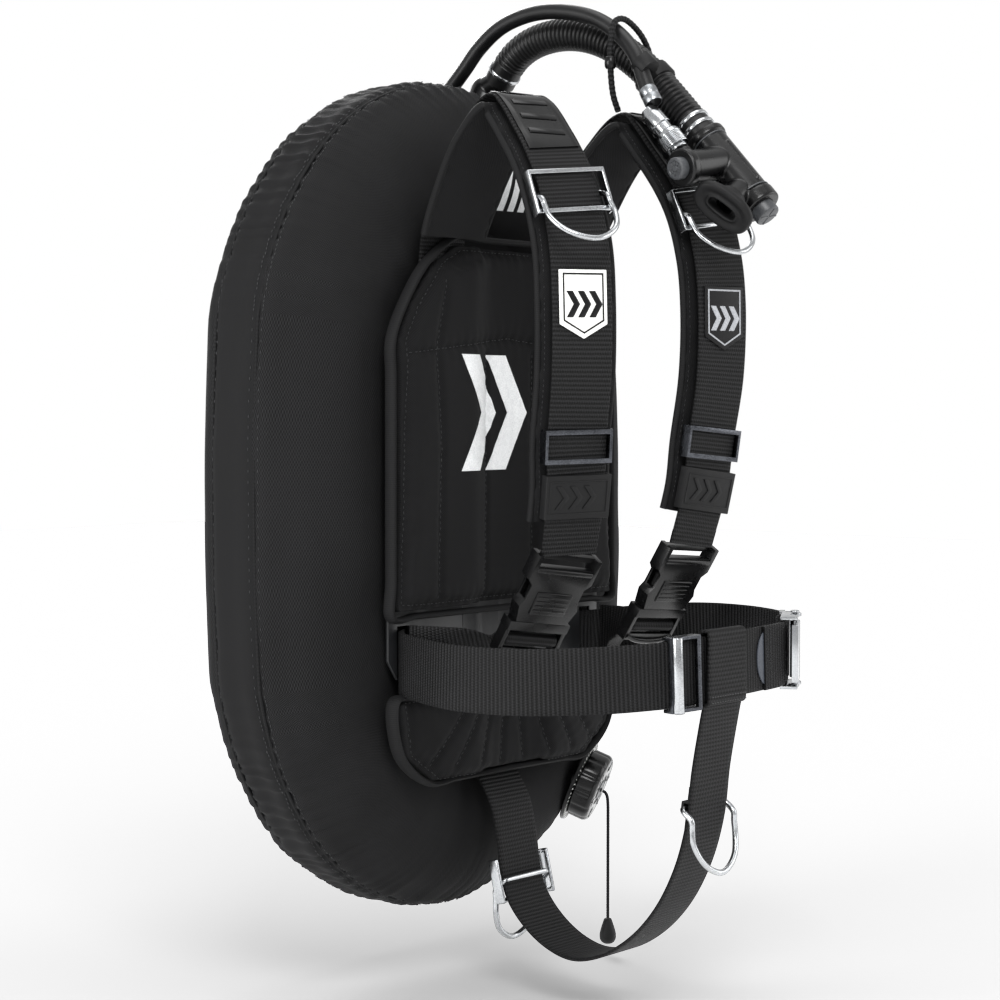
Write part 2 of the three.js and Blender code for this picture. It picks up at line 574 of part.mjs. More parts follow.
function buildBelt() {
  const beltShare = (x) => beltRoute.shareNear("x", x, 0.25, 0.62);
  const buckleShare = beltShare(108);
  const halfBuckle = 21 / beltRoute.length;

  const rightBelt = layAlong(beltRoute, {
    from: 0, to: buckleShare + 0.4 * halfBuckle, width: WEB_WIDTH, thick: WEB_THICK, steps: 56,
  });
  const tail = layAlong(beltRoute, {
    from: beltShare(52), to: buckleShare - 1.12 * halfBuckle, width: WEB_WIDTH, thick: WEB_THICK,
    lift: WEB_THICK - 0.1, steps: 4,
  });
  add("right_waist_belt", join(rightBelt, tail), webbing);

  const seat = seatOn(beltRoute, buckleShare);
  const barRun = 24;
  const barLift = -4.4;
  const loopInner = 2.6;
  const loopMiddle = rod(loopInner + WEB_THICK, WEB_WIDTH - 1, "x", 0, barLift, barRun);
  const leftBelt = layAlong(beltRoute, {
    from: buckleShare + (barRun + 2) / beltRoute.length, to: 1, width: WEB_WIDTH,
    thick: WEB_THICK, steps: 34,
  });
  const barRoom = rod(loopInner, WEB_WIDTH + 6, "x", 0, barLift, barRun);
  const leftWithLoop = cut(join(leftBelt, placed(loopMiddle, seat)), placed(barRoom, seat));
  add("left_waist_belt", leftWithLoop, webbing);

  // Buckle frame: a floor behind the belt, two cheeks, and the bar that the left belt wraps.
  const cheek = WEB_WIDTH / 2 + 1.4;
  const floorLift = -(WEB_THICK / 2 + GAP + 1);
  const cheeks = [-1, 1].flatMap((end) => [
    box(2, 13, 40, end * (cheek + 1), floorLift + 5.5, 0),
    rod(5, 2, "x", end * (cheek + 1), LEVER.pinLift, LEVER.pinRun),
    box(2, 4, 10, end * (cheek + 1), barLift, 23),
  ]);
  const frame = join(
    box(2 * cheek + 4, 2, 36, 0, floorLift - 0.4, -2), ...cheeks,
    rod(2, 2 * cheek + 4, "x", 0, barLift, barRun, 12));
  const pinHoles = rod(LEVER.pinRadius + 0.35, 90, "x", 0, LEVER.pinLift, LEVER.pinRun);
  addFitted("waist_buckle_frame", cut(frame, pinHoles), steel, seat, beltRoute);

  const pin = join(
    rod(LEVER.pinRadius, 2 * cheek + 6, "x", 0, LEVER.pinLift, LEVER.pinRun),
    ...[-1, 1].map((end) => rod(3.4, 1.4, "x", end * (cheek + 3.4), LEVER.pinLift, LEVER.pinRun)));
  add("waist_buckle_pin", pin, steel, seat);

  const { width, length, knuckle, pinLift, pinRun, pinRadius } = LEVER;
  const lever = cut(join(
    rod(knuckle, width, "x", 0, pinLift, pinRun),
    box(width, 2, length, 0, pinLift + knuckle - 1, pinRun - length / 2),
    box(width, 5, 2, 0, pinLift + knuckle - 2.4, pinRun - length + 1)),
  rod(pinRadius + 0.35, 90, "x", 0, pinLift, pinRun));
  add("waist_buckle_lever", lever, steel, seat);

  const slideSeat = seatOn(beltRoute, beltShare(-47));
  const beltSlide = join(
    glide({ height: 30, bar: 3.4 }),
    rod(4.2, 2 * (WEB_WIDTH / 2 + 0.8 + GLIDE.rail), "x", 0, 6.2, -10));
  addFitted("belt_slide", beltSlide, steel, slideSeat, beltRoute);
}

// ---- crotch strap -------------------------------------------------------------------
const CROTCH_POINTS = [
  [-7.6, -199], [-13, -214], [-25, -233], [-37, -252], [-43.5, -276], [-48, -304],
  [-55, -327], [-72, -347], [-96, -362], [-122, -368], [-151, -361], [-180, -343],
  [-205, -316], [-224, -281], [-235, -244], [-240, -205], [-247, -168], [-250.5, -151.5],
];
const crotchRoute = new StrapRoute(CROTCH_POINTS.map(([y, z]) => v(0, y, z)),
  CROTCH_POINTS.map(() => v(-1, 0, 0)));

// A bar with a given outline in Y and Z, as long as needed along X.
function prism(corners, width) {
  const along = new THREE.Matrix4().makeBasis(v(0, 1, 0), v(0, 0, 1), v(1, 0, 0));
  return new THREE.ExtrudeGeometry(outline(corners), { depth: width, bevelEnabled: false })
    .translate(0, 0, -width / 2).applyMatrix4(along);
}

function loopBox(width, depth, height, wall, y, z) {
  return cut(box(width, depth + 2 * wall, height + 2 * wall, 0, y, z),
    box(width + 10, depth, height, 0, y, z));
}

function buildCrotchStrap() {
  const ribbon = layAlong(crotchRoute, {
    from: 0, to: 1, width: WEB_WIDTH, thick: WEB_THICK, steps: 40,
  });
  // Upper loop round the belt, and rear loop round the foot of the plate.
  const beltFront = beltRoute.at(beltRoute.shareNear("x", 0, 0.25, 0.62)).point;
  const beltLoop = loopBox(WEB_WIDTH, WEB_THICK + 3.6, WEB_WIDTH + 3, WEB_THICK,
    beltFront.y - 0.2, beltFront.z);
  const foot = -PLATE_HEIGHT / 2;
  const footLow = foot - GAP;
  const footHigh = CROTCH_SLOT.z - SLOT_HEIGHT / 2 + GAP;
  const plateMiddle = plateBack - PLATE_THICK / 2;
  const plateLoop = loopBox(WEB_WIDTH - 6, PLATE_THICK + 2 * GAP, footHigh - footLow, WEB_THICK,
    plateMiddle, (footHigh + footLow) / 2);
  add("crotch_strap", join(ribbon, beltLoop, plateLoop), webbing);

  const rearSeat = seatOn(crotchRoute, crotchRoute.shareNear("z", -314, 0, 0.45));
  addFitted("rear_ring_slide", ringGlide(), steel, rearSeat, crotchRoute);
  add("rear_crotch_ring", dRing(), steel, rearSeat);

  const frontShare = crotchRoute.shareNear("z", -234, 0.6, 1);
  const frontSeat = seatOn(crotchRoute, frontShare, { backwards: true });
  add("front_crotch_ring", dRing(), steel, frontSeat);
  const inner = ringAxis() - RING_WIRE / 2 - GAP;
  const face = -(WEB_THICK / 2 + GAP);
  const wall = 2;
  const half = 3.4;
  addFitted("front_ring_loop", prism([
    [face, -17], [face, -half], [inner, -half], [inner, half], [face, half], [face, 17],
    [face - wall, 17], [face - wall, half + 3], [inner - wall, half + 1],
    [inner - wall, -half - 1], [face - wall, -half - 3], [face - wall, -17],
  ], WEB_WIDTH - 6), webbing, frontSeat, crotchRoute);
}

// ---- hoses --------------------------------------------------------------------------
const HOSE_POINTS = [
  [81, 42, 359], [79, 33, 368], [77.5, 20, 379], [77, 2, 387.5], [77, -20, 391.5],
  [77.5, -42, 391], [78.5, -64, 386], [80, -86, 376], [81.5, -106, 362.5],
  [83.5, -124, 346], [85, -141, 328], [86.2, -156, 311.5], [87, -170, 296],
].map(([x, y, z]) => v(x, y, z));
const LP_POINTS = [
  [49, -148, 321], [50, -142.5, 329.5], [52, -135.5, 343], [55, -126, 361], [58, -108, 380],
  [58, -84, 396], [57, -52, 406], [56, -16, 408.5], [55.5, 18, 401], [56, 43, 386],
  [56.5, 63, 367], [57, 82, 350.5], [57, 104, 337], [57, 126, 320.5], [57, 140, 298],
  [57, 146, 272], [57, 147, 244], [57, 147, 215], [57, 147, 190], [57, 147, 166], [57, 147, 146],
].map(([x, y, z]) => v(x, y, z));
const BUNGEE_POINTS = [
  [58, -105, 319], [51, -105, 332], [46, -106, 355], [45.5, -107, 378], [50, -107, 391],
  [61, -107, 395], [76, -107, 391], [90, -107.5, 381], [99, -108, 367], [102.5, -109, 350],
  [105, -111, 334], [105, -114, 320],
].map(([x, y, z]) => v(x, y, z));

function buildHoses() {
  const neckTop = 20;
  elbowGroup.updateMatrixWorld(true);
  const inWorld = elbowGroup.matrixWorld;
  const knee = v(0, 0, neckTop).applyMatrix4(inWorld);
  const outlet = HOSE_POINTS[0].clone().sub(HOSE_POINTS[1]).normalize();
  const end = HOSE_POINTS[0].clone().addScaledVector(outlet, GAP);
  const arm = end.clone().sub(knee);
  const armRod = new THREE.CylinderGeometry(12, 12, arm.length(), 16)
    .translate(0, arm.length() / 2, 0)
    .applyQuaternion(new THREE.Quaternion().setFromUnitVectors(v(0, 1, 0), arm.clone().normalize()))
    .translate(knee.x, knee.y, knee.z);
  const neck = placed(join(
    rod(ELBOW_NECK - GAP, 12, "z", 0, 0, -5), rod(24, 2.6, "z", 0, 0, 1.3 + GAP, 24),
    rod(13, neckTop, "z", 0, 0, neckTop / 2)), elbowGroup);
  const ball = new THREE.SphereGeometry(13, 16, 10).translate(knee.x, knee.y, knee.z);
  const bend = join(neck, ball, armRod);
  const trim = new THREE.CylinderGeometry(60, 60, 60, 12).translate(0, -30, 0)
    .applyQuaternion(new THREE.Quaternion().setFromUnitVectors(v(0, 1, 0), outlet))
    .translate(end.x, end.y, end.z);
  add("wing_elbow", cut(bend, trim), blackPlastic);

  add("inflator_hose", tubeAlong(HOSE_POINTS, HOSE_RADIUS, 22, 12), rubber);
  add("low_pressure_hose", tubeAlong(LP_POINTS, LP_RADIUS, 44, 8), rubber);
  add("hose_bungee", tubeAlong(BUNGEE_POINTS, BUNGEE_RADIUS, 24, 6), rubber);

  const hoseEnd = LP_POINTS[LP_POINTS.length - 1];
  add("tank_end_fitting", join(
    rod(8.6, 13, "z", hoseEnd.x, hoseEnd.y, hoseEnd.z - GAP - 6.5, 6),
    rod(5.4, 14, "z", hoseEnd.x, hoseEnd.y, hoseEnd.z - GAP - 20, 16)), steel);
}

// A clip that holds the thin hose beside the corrugated one.
function buildHoseClip() {
  const wide = HOSE_POINTS[9].clone();
  const run = HOSE_POINTS[10].clone().sub(HOSE_POINTS[8]).normalize();
  const thin = LP_POINTS[3].clone();
  const side = thin.clone().sub(wide);
  side.addScaledVector(run, -side.dot(run));
  const distance = side.length();
  const seat = new THREE.Group();
  const basis = new THREE.Matrix4()
    .makeBasis(side.clone().normalize(), run.clone().cross(side).normalize(), run);
  seat.quaternion.setFromRotationMatrix(basis);
  seat.position.copy(wide);
  object.add(seat);
  const wall = 2;
  const body = join(
    rod(HOSE_RADIUS + GAP + wall, 12, "z", 0, 0, 0, 16),
    rod(LP_RADIUS + 1.4 + wall, 12, "z", distance, 0, 0, 12),
    box(distance, 6, 12, distance / 2, 0, 0));
  const clip = cut(placed(body, seat),
    tubeAlong(HOSE_POINTS, HOSE_RADIUS + GAP, 22, 12), tubeAlong(LP_POINTS, LP_RADIUS + GAP, 44, 8));
  add("hose_clip", clip, rubber);
}

// ---- inflator -----------------------------------------------------------------------
// Local axes: z runs up the body to the hose, x runs out along the inflate branch.
const inflatorSeat = new THREE.Group();
const inflatorUp = HOSE_POINTS[HOSE_POINTS.length - 2].clone()
  .sub(HOSE_POINTS[HOSE_POINTS.length - 1]).normalize();
const inflatorSide = v(-0.975, 0.22, -0.026);
inflatorSide.addScaledVector(inflatorUp, -inflatorSide.dot(inflatorUp)).normalize();
inflatorSeat.quaternion.setFromRotationMatrix(new THREE.Matrix4()
  .makeBasis(inflatorSide, inflatorUp.clone().cross(inflatorSide), inflatorUp));
inflatorSeat.position.copy(HOSE_POINTS[HOSE_POINTS.length - 1])
  .addScaledVector(inflatorUp, -GAP);
object.add(inflatorSeat);
const BRANCH_Z = -30;
const NIPPLE = { x: 38, radius: 4.5, tall: 15 };

// A round wire spring about Z between two heights.
function coilSpring(radius, low, high, turns) {
  const points = [];
  const perTurn = 8;
  const steps = turns * perTurn;
  for (let step = 0; step <= steps; step += 1) {
    const angle = (step / perTurn) * 2 * Math.PI;
    const height = low + ((high - low) * step) / steps;
    points.push(v(radius * Math.cos(angle), radius * Math.sin(angle), height));
  }
  return tubeAlong(points, 0.7, steps, 4);
}

const alongX = (geometry) => geometry.rotateY(Math.PI / 2);

function buildInflator() {
  const { radius, length, branch, branchRadius } = INFLATOR;
  const stemWay = v(0.93, -0.02, -0.38).normalize();
  const stemTurn = new THREE.Quaternion().setFromUnitVectors(v(0, 0, 1), stemWay);
  const stemFoot = v(0, 0, -58);
  const onStem = (geometry) => geometry.applyQuaternion(stemTurn)
    .translate(stemFoot.x, stemFoot.y, stemFoot.z);
  const stemLength = radius + 24.5;
  const foot = -length;
  const boreDepth = 14;
  const body = cut(
    join(
      rod(radius, length, "z", 0, 0, foot / 2, 20),
      rod(radius + 2, 7, "z", 0, 0, -4, 20),
      rod(radius + 1.6, 12, "z", 0, 0, foot - 2, 20),
      rod(branchRadius, branch, "x", branch / 2, 0, BRANCH_Z, 20),
      rod(branchRadius + 2, 8, "x", branch - 2, 0, BRANCH_Z, 20),
      rod(NIPPLE.radius + 3, branchRadius, "z", NIPPLE.x, 0, BRANCH_Z + branchRadius / 2 + 3),
      rod(NIPPLE.radius, NIPPLE.tall, "z", NIPPLE.x, 0, BRANCH_Z + branchRadius + 7),
      onStem(rod(11, stemLength, "z", 0, 0, stemLength / 2, 20))),
    rod(BUTTON.inflate + GAP, boreDepth, "x", branch + 2 - boreDepth / 2 + 0.1, 0, BRANCH_Z, 20),
    rod(BUTTON.deflate + GAP, boreDepth, "z", 0, 0, foot - 8 + boreDepth / 2 - 0.1, 20),
    onStem(rod(7.5, 22, "z", 0, 0, stemLength - 10, 16)));
  add("inflator_body", body, blackPlastic, inflatorSeat);

  const inflateFloor = branch + 2 - boreDepth + 0.1;
  const inflateBack = inflateFloor + 8;
  add("inflate_button", rod(BUTTON.inflate, 13, "x", inflateBack + 6.5, 0, BRANCH_Z, 24),
    greyPlastic, inflatorSeat);
  const inflateSpring = alongX(coilSpring(6.6, inflateFloor + 1, inflateBack - 1, 3));
  add("inflate_spring", inflateSpring.translate(0, 0, BRANCH_Z), steel, inflatorSeat);

  const deflateFloor = foot - 8 + boreDepth - 0.1;
  const deflateTop = deflateFloor - 8.4;
  add("deflate_button", rod(BUTTON.deflate, 15, "z", 0, 0, deflateTop - 7.5, 24), greyPlastic,
    inflatorSeat);
  add("deflate_spring", coilSpring(7.6, deflateTop + 1, deflateFloor - 1, 3), steel, inflatorSeat);

  const lipShape = roundedRect(52, 32, 15.9);
  const slot = roundedRect(25, 9, 4.4);
  lipShape.holes.push(slot);
  const lip = new THREE.ExtrudeGeometry(lipShape, {
    depth: 7, bevelEnabled: false, curveSegments: 6,
  }).translate(0, 0, stemLength + GAP);
  const sleeve = collar(11 + GAP, 14, stemLength - 9, stemLength + 1, 20);
  add("mouthpiece", onStem(join(lip, sleeve)), rubber, inflatorSeat);

  // Quick connector on the nipple: a body with a sliding lock sleeve.
  const foothold = BRANCH_Z + branchRadius + 5.5;
  const connector = new THREE.Group();
  connector.position.set(NIPPLE.x, 0, foothold);
  inflatorSeat.add(connector);
  add("connector_body", turned([
    [NIPPLE.radius + GAP, 0], [7.2, 0], [7.2, 27], [8.4, 27], [8.4, 40], [6.6, 46], [0, 46],
    [0, 12], [NIPPLE.radius + GAP, 12], [NIPPLE.radius + GAP, 0],
  ].slice(0, -1).concat([[NIPPLE.radius + GAP, 0]]), 20), steel, connector);
  add("connector_sleeve", collar(7.2 + GAP, 10, 3, 19, 20), steel, connector);
}

// ---- dump valve ---------------------------------------------------------------------
function buildDumpValve() {
  const { neck, flange, cap } = VALVE;
  const bore = neck - 4;
  add("dump_valve_base", turned([
    [bore, -10], [neck, -10], [neck, GAP], [flange, GAP], [flange - 1, 3.6], [24.6, 3.6],
    [24.6, 13], [21.4, 13], [21.4, 3.6], [bore, 3.6], [bore, -10],
  ]), blackPlastic, valveGroup);
  const skirt = 24.6 + GAP;
  const capShell = turned([
    [3, 17], [skirt, 17], [skirt, 4.4], [cap, 4.4], [cap, 19], [cap - 3, 22.5], [3, 22.5], [3, 17],
  ]);
  const vents = [0, 1, 2, 3, 4, 5].map((step) => {
    const angle = (step / 6) * 2 * Math.PI;
    return rod(2.8, 12, "z", 20 * Math.cos(angle), 20 * Math.sin(angle), 20, 8);
  });
  add("dump_valve_cap", cut(capShell, ...vents), blackPlastic, valveGroup);
  add("dump_valve_seal", collar(bore + 0.6, 20.4, 3.6 + GAP, 5.6), rubber, valveGroup);
  add("dump_valve_poppet", turned([
    [0, 6], [20.4, 6], [20.4, 8], [5, 8], [3.2, 10.4], [1.8, 10.8], [1.8, 24.4], [0, 24.4],
  ]), blackPlastic, valveGroup);
  add("dump_valve_spring", coilSpring(12, 9, 16, 3), steel, valveGroup);
}

const CORD_POINTS = [
  [141.9, -25.9, -264], [142.9, -27.9, -265.2], [143.7, -29.5, -268.5], [144, -30.2, -275],
  [144, -30.4, -290], [144, -30.4, -312], [144, -30.4, -335], [144, -30.4, -357],
  [144, -30.4, -377],
].map(([x, y, z]) => v(x, y, z));

function buildPull() {
  add("dump_pull_cord", tubeAlong(CORD_POINTS, 1.1, 16, 6), rubber);
  const end = CORD_POINTS[CORD_POINTS.length - 1];
  const knob = turned([[0, -22], [5, -21], [7, -17], [6.4, -11], [3.4, -2], [2.4, 0], [0, 0]], 16);
  add("dump_pull_knob", knob.translate(end.x, end.y, end.z - GAP), rubber);
}

// ---- build --------------------------------------------------------------------------
buildWing();
buildPlate();
buildBookScrews();
for (const sideInfo of SIDES) {
  buildShoulder(sideInfo);
  buildLowerStrap(sideInfo, buildBuckle(sideInfo));
}
const strapRoom = SIDES.flatMap(({ name }) => {
  const route = shoulderRoutes[name];
  const to = 0.4;
  return [
    layAlong(route, {
      from: 0, to, width: WEB_WIDTH + 2, thick: WEB_THICK + 2 * GAP, steps: 30,
    }),
    layAlong(route, {
      from: 0.12, to, width: SHOULDER_PAD.width + 14, thick: SHOULDER_PAD.thick + 2, lift: padLift,
      steps: 20,
    }),
  ];
});
add("back_pad", cut(cushion(BACK_PAD, [
  [-BACK_PAD.half, BACK_PAD.low], [BACK_PAD.half, BACK_PAD.low], [BACK_PAD.half, 128],
  [126, 160], [100, 192], [66, BACK_PAD.high], [-66, BACK_PAD.high], [-100, 192], [-126, 160],
  [-BACK_PAD.half, 128],
], 9), ...strapRoom), padCloth);
add("lumbar_pad", cushion(LUMBAR_PAD, [
  [-100, LUMBAR_PAD.low], [100, LUMBAR_PAD.low], [134, LUMBAR_PAD.low + 26],
  [LUMBAR_PAD.half, LUMBAR_PAD.high], [-LUMBAR_PAD.half, LUMBAR_PAD.high],
  [-134, LUMBAR_PAD.low + 26],
], 7), padCloth);
buildBelt();
buildCrotchStrap();
buildHoses();
buildHoseClip();
buildInflator();
buildDumpValve();
buildPull();

export default object;
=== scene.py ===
"""Dive harness with a steel back plate and a ring wing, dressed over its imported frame.

Every length in the sub-assemblies is in millimetres and every mesh is made in metres.
"""
from __future__ import annotations

import logging
import math
from dataclasses import dataclass
from enum import Enum
from math import copysign, cos, exp, hypot, pi, radians, sin
from typing import Callable, Iterable, Sequence

import bmesh
import bpy
from mathutils import Matrix, Vector, noise
from mathutils.bvhtree import BVHTree

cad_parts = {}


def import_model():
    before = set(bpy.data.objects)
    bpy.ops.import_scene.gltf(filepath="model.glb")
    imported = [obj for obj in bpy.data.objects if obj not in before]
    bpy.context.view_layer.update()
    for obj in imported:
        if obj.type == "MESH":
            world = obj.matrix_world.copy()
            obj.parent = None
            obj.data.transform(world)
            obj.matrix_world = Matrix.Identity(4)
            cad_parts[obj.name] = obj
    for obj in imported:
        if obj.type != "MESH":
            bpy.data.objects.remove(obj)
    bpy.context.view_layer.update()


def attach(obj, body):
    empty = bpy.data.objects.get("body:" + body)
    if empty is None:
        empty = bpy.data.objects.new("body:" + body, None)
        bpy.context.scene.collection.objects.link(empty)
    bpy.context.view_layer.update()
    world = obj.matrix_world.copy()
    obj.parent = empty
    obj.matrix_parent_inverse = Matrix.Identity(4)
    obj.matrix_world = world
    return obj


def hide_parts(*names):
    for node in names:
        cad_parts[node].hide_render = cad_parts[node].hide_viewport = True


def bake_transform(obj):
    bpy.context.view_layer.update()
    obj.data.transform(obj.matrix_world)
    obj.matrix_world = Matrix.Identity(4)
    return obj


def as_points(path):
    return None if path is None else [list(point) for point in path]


LOG = logging.getLogger("dive_harness")
MM = 0.001
ROOT = "harness"
X_AXIS, Y_AXIS, Z_AXIS = (Vector(way) for way in ((1, 0, 0), (0, 1, 0), (0, 0, 1)))
Triple = tuple[float, float, float]
Pair = tuple[float, float]
Shape = bmesh.types.BMesh
Object = bpy.types.Object
Tree = bpy.types.NodeTree
Node = bpy.types.Node
Socket = bpy.types.NodeSocket
Corner = tuple[Vector, tuple]


# ---- finishes -----------------------------------------------------------------------
def linear(hex_colour: str) -> tuple[float, float, float, float]:
    """Turns an sRGB hex colour into linear light.

    Args:
        hex_colour: six hex digits with a leading hash.

    Returns:
        Red, green, blue and an alpha of one.
    """
    values = [int(hex_colour[spot:spot + 2], 16) / 255 for spot in (1, 3, 5)]
    light = [v / 12.92 if v <= 0.04045 else ((v + 0.055) / 1.055) ** 2.4 for v in values]
    return (light[0], light[1], light[2], 1.0)


def add_node(tree: Tree, kind: str, settings: dict | None = None,
             links: dict | None = None) -> Node:
    """Adds one shader node.

    Args:
        tree: the material's node tree.
        kind: the node's type name, without what all of them start with.
        settings: attributes, or input sockets where the key names or numbers one.
        links: input socket name or number to an output socket, or to a node for its first.

    Returns:
        The new node.
    """
    made = tree.nodes.new("ShaderNode" + kind)
    for key, value in (settings or {}).items():
        if isinstance(key, str) and hasattr(made, key):
            setattr(made, key, value)
        else:
            made.inputs[key].default_value = value
    for key, source in (links or {}).items():
        tree.links.new(getattr(source, "outputs", [source])[0], made.inputs[key])
    return made


class Coordinates(Enum):
    """Where a pattern takes its place from."""

    OBJECT = "Object"
    CLOTH = "UV"


@dataclass(frozen=True)
class Finish:
    """A surface: its colours, gloss and fine pattern. Subclasses add the pattern."""

    name: str
    slot: str
    dark: str
    light: str
    roughness: float = 0.6
    metallic: float = 0.0
    bump: float = 0.3
    depth_mm: float = 0.2
    mottle_mm: float = 30.0
    sheen: float = 0.0
    coat: float = 0.0
    specular: float = 0.5
    dark_until: float = 0.3
    space: Coordinates = Coordinates.OBJECT

    def pattern(self, tree: Tree, place: Socket) -> Node:
        """Makes the fine pattern; here, the pebble of a moulded surface.

        Args:
            tree: the material's node tree.
            place: coordinates in metres.

        Returns:
            A node that gives from 0, low, to 1, high.
        """
        return add_node(tree, "TexNoise", {"Scale": 900.0, "Detail": 3.0, "Roughness": 0.6},
                        {"Vector": place})

    def material(self) -> bpy.types.Material:
        """Builds the material once and returns it."""
        found = bpy.data.materials.get(self.name)
        if found:
            return found
        made = bpy.data.materials.new(self.name)
        made.use_nodes = True
        tree = made.node_tree
        tree.nodes.clear()
        where = add_node(tree, "TexCoord").outputs[self.space.value]
        fine = self.pattern(tree, where)
        mottle = add_node(tree, "TexNoise",
                          {"Scale": 1000.0 / self.mottle_mm, "Detail": 4.0}, {"Vector": where})
        blend = add_node(tree, "Math", {"operation": "MULTIPLY_ADD", 1: 0.45},
                         {0: mottle, 2: fine})
        ramp = add_node(tree, "ValToRGB", {}, {0: blend})
        ramp.color_ramp.elements[0].position = self.dark_until
        ramp.color_ramp.elements[0].color = linear(self.dark)
        ramp.color_ramp.elements[1].position = 1.0
        ramp.color_ramp.elements[1].color = linear(self.light)
        rough = add_node(tree, "Math", {"operation": "MULTIPLY_ADD", 1: 0.22,
                                                  2: self.roughness - 0.11},
                         {0: mottle})
        relief = add_node(tree, "Bump",
                          {"Strength": min(self.bump, 1.0), "Distance": self.depth_mm * MM},
                          {"Height": fine})
        shader = add_node(tree, "BsdfPrincipled", {
            "Metallic": self.metallic, "Sheen Weight": self.sheen, "Coat Weight": self.coat,
            "Coat Roughness": 0.25, "Specular IOR Level": self.specular,
        }, {"Base Color": ramp, "Roughness": rough, "Normal": relief})
        add_node(tree, "OutputMaterial", {}, {"Surface": shader})
        return made


@dataclass(frozen=True)
class Weave(Finish):
    """Plain-woven cloth: two crossed sets of threads, drawn coarse enough to show."""

    thread_mm: float = 1.3

    def pattern(self, tree: Tree, place: Socket) -> Node:
        """Makes crossed threads as the product of two waves, roughened by noise.

        Args:
            tree: the material's node tree.
            place: coordinates in metres.

        Returns:
            A node that gives from 0, between threads, to 1, on top of one.
        """
        slub = add_node(tree, "TexNoise", {"Scale": 260.0, "Detail": 2.0}, {"Vector": place})
        apart = add_node(tree, "SeparateXYZ", {}, {0: place})
        second = 1 if self.space is Coordinates.CLOTH else 2
        waves = []
        for axis, turn in ((0, 0.0), (second, 1.6)):
            run = add_node(tree, "Math", {"operation": "MULTIPLY",
                                                    1: 2 * pi / (self.thread_mm * MM)},
                           {0: apart.outputs[axis]})
            wobble = add_node(tree, "Math", {"operation": "MULTIPLY_ADD", 1: 2.4},
                              {0: slub, 2: run})
            shift = add_node(tree, "Math", {"operation": "ADD", 1: turn}, {0: wobble})
            waves.append(add_node(tree, "Math", {"operation": "SINE"}, {0: shift}))
        both = add_node(tree, "Math", {"operation": "MULTIPLY"}, {0: waves[0], 1: waves[1]})
        return add_node(tree, "Math", {"operation": "MULTIPLY_ADD", 1: 0.4, 2: 0.5}, {0: both})


@dataclass(frozen=True)
class Ribbed(Finish):
    """Heavy webbing: ribs across its width, each one a row of short thread floats."""

    rib_mm: float = 3.4
    float_mm: float = 2.1
    space: Coordinates = Coordinates.CLOTH

    def pattern(self, tree: Tree, place: Socket) -> Node:
        """Makes ribs along the cloth's first coordinate and floats along its second.

        Args:
            tree: the material's node tree.
            place: cloth coordinates in metres.

        Returns:
            A node that gives from 0, in a groove, to 1, on a float.
        """
        apart = add_node(tree, "SeparateXYZ", {}, {0: place})
        ribs, pairs, floats = (
            add_node(tree, "Math", {"operation": "MULTIPLY", 1: 2 * pi / (size * MM)},
                     {0: apart.outputs[axis]})
            for size, axis in ((self.rib_mm, 0), (2 * self.rib_mm, 0), (self.float_mm, 1)))
        rib, side = (add_node(tree, "Math", {"operation": "SINE"}, {0: turn})
                     for turn in (ribs, pairs))
        lean = add_node(tree, "Math", {"operation": "SIGN"}, {0: side})
        stagger = add_node(tree, "Math", {"operation": "MULTIPLY_ADD", 1: 1.57},
                           {0: lean, 2: floats})
        dots = add_node(tree, "Math", {"operation": "SINE"}, {0: stagger})
        low = add_node(tree, "Math", {"operation": "MULTIPLY_ADD", 1: 0.17, 2: 0.5}, {0: dots})
        return add_node(tree, "Math", {"operation": "MULTIPLY_ADD", 1: 0.3}, {0: rib, 2: low})


@dataclass(frozen=True)
class Metal(Finish):
    """Polished or brushed steel with fine draw lines and a little handling haze."""

    metallic: float = 1.0
    line_scale: float = 300.0

    def pattern(self, tree: Tree, place: Socket) -> Node:
        """Makes fine lines along X by stretching noise.

        Args:
            tree: the material's node tree.
            place: coordinates in metres.

        Returns:
            A node that gives from 0 to 1.
        """
        stretch = add_node(tree, "Mapping", {"Scale": (0.06, 1.0, 1.0)}, {"Vector": place})
        return add_node(tree, "TexNoise", {"Scale": self.line_scale * 6, "Detail": 2.0},
                        {"Vector": stretch})


# Coarse woven nylon of the wing: matt, slightly grey on the thread tops.
WING_NYLON = Weave("wing_woven_nylon", "cordura", "#030303", "#1f1f20", 0.84, bump=0.8,
                   depth_mm=0.5, mottle_mm=60, specular=0.14, dark_until=0.45,
                   space=Coordinates.CLOTH, thread_mm=2.2)
# The gusset's tighter cloth catches more light than the face cloth.
GUSSET_NYLON = Weave("gusset_woven_nylon", "cordura", "#030303", "#171718", 0.76, bump=0.5,
                     depth_mm=0.3, mottle_mm=40, specular=0.14, space=Coordinates.CLOTH,
                     thread_mm=1.3)
# Heavy brushed nylon over foam: soft and nearly black.
PAD_NYLON = Weave("pad_woven_nylon", "padding", "#040404", "#19191a", 0.88, bump=0.6,
                  depth_mm=0.35, mottle_mm=45, sheen=0.02, specular=0.12, thread_mm=1.8)
PANEL_NYLON = Weave("panel_woven_nylon", "cordura", "#040404", "#161617", 0.88, bump=0.5,
                    depth_mm=0.3, mottle_mm=50, specular=0.12, thread_mm=1.7)
# Folded edge tape, finer and a touch glossier than the cloth that it binds.
BINDING = Ribbed("woven_edge_binding", "padding", "#030303", "#151516", 0.7, bump=0.5,
                 depth_mm=0.25, mottle_mm=30, specular=0.15, rib_mm=1.5, float_mm=1.4)
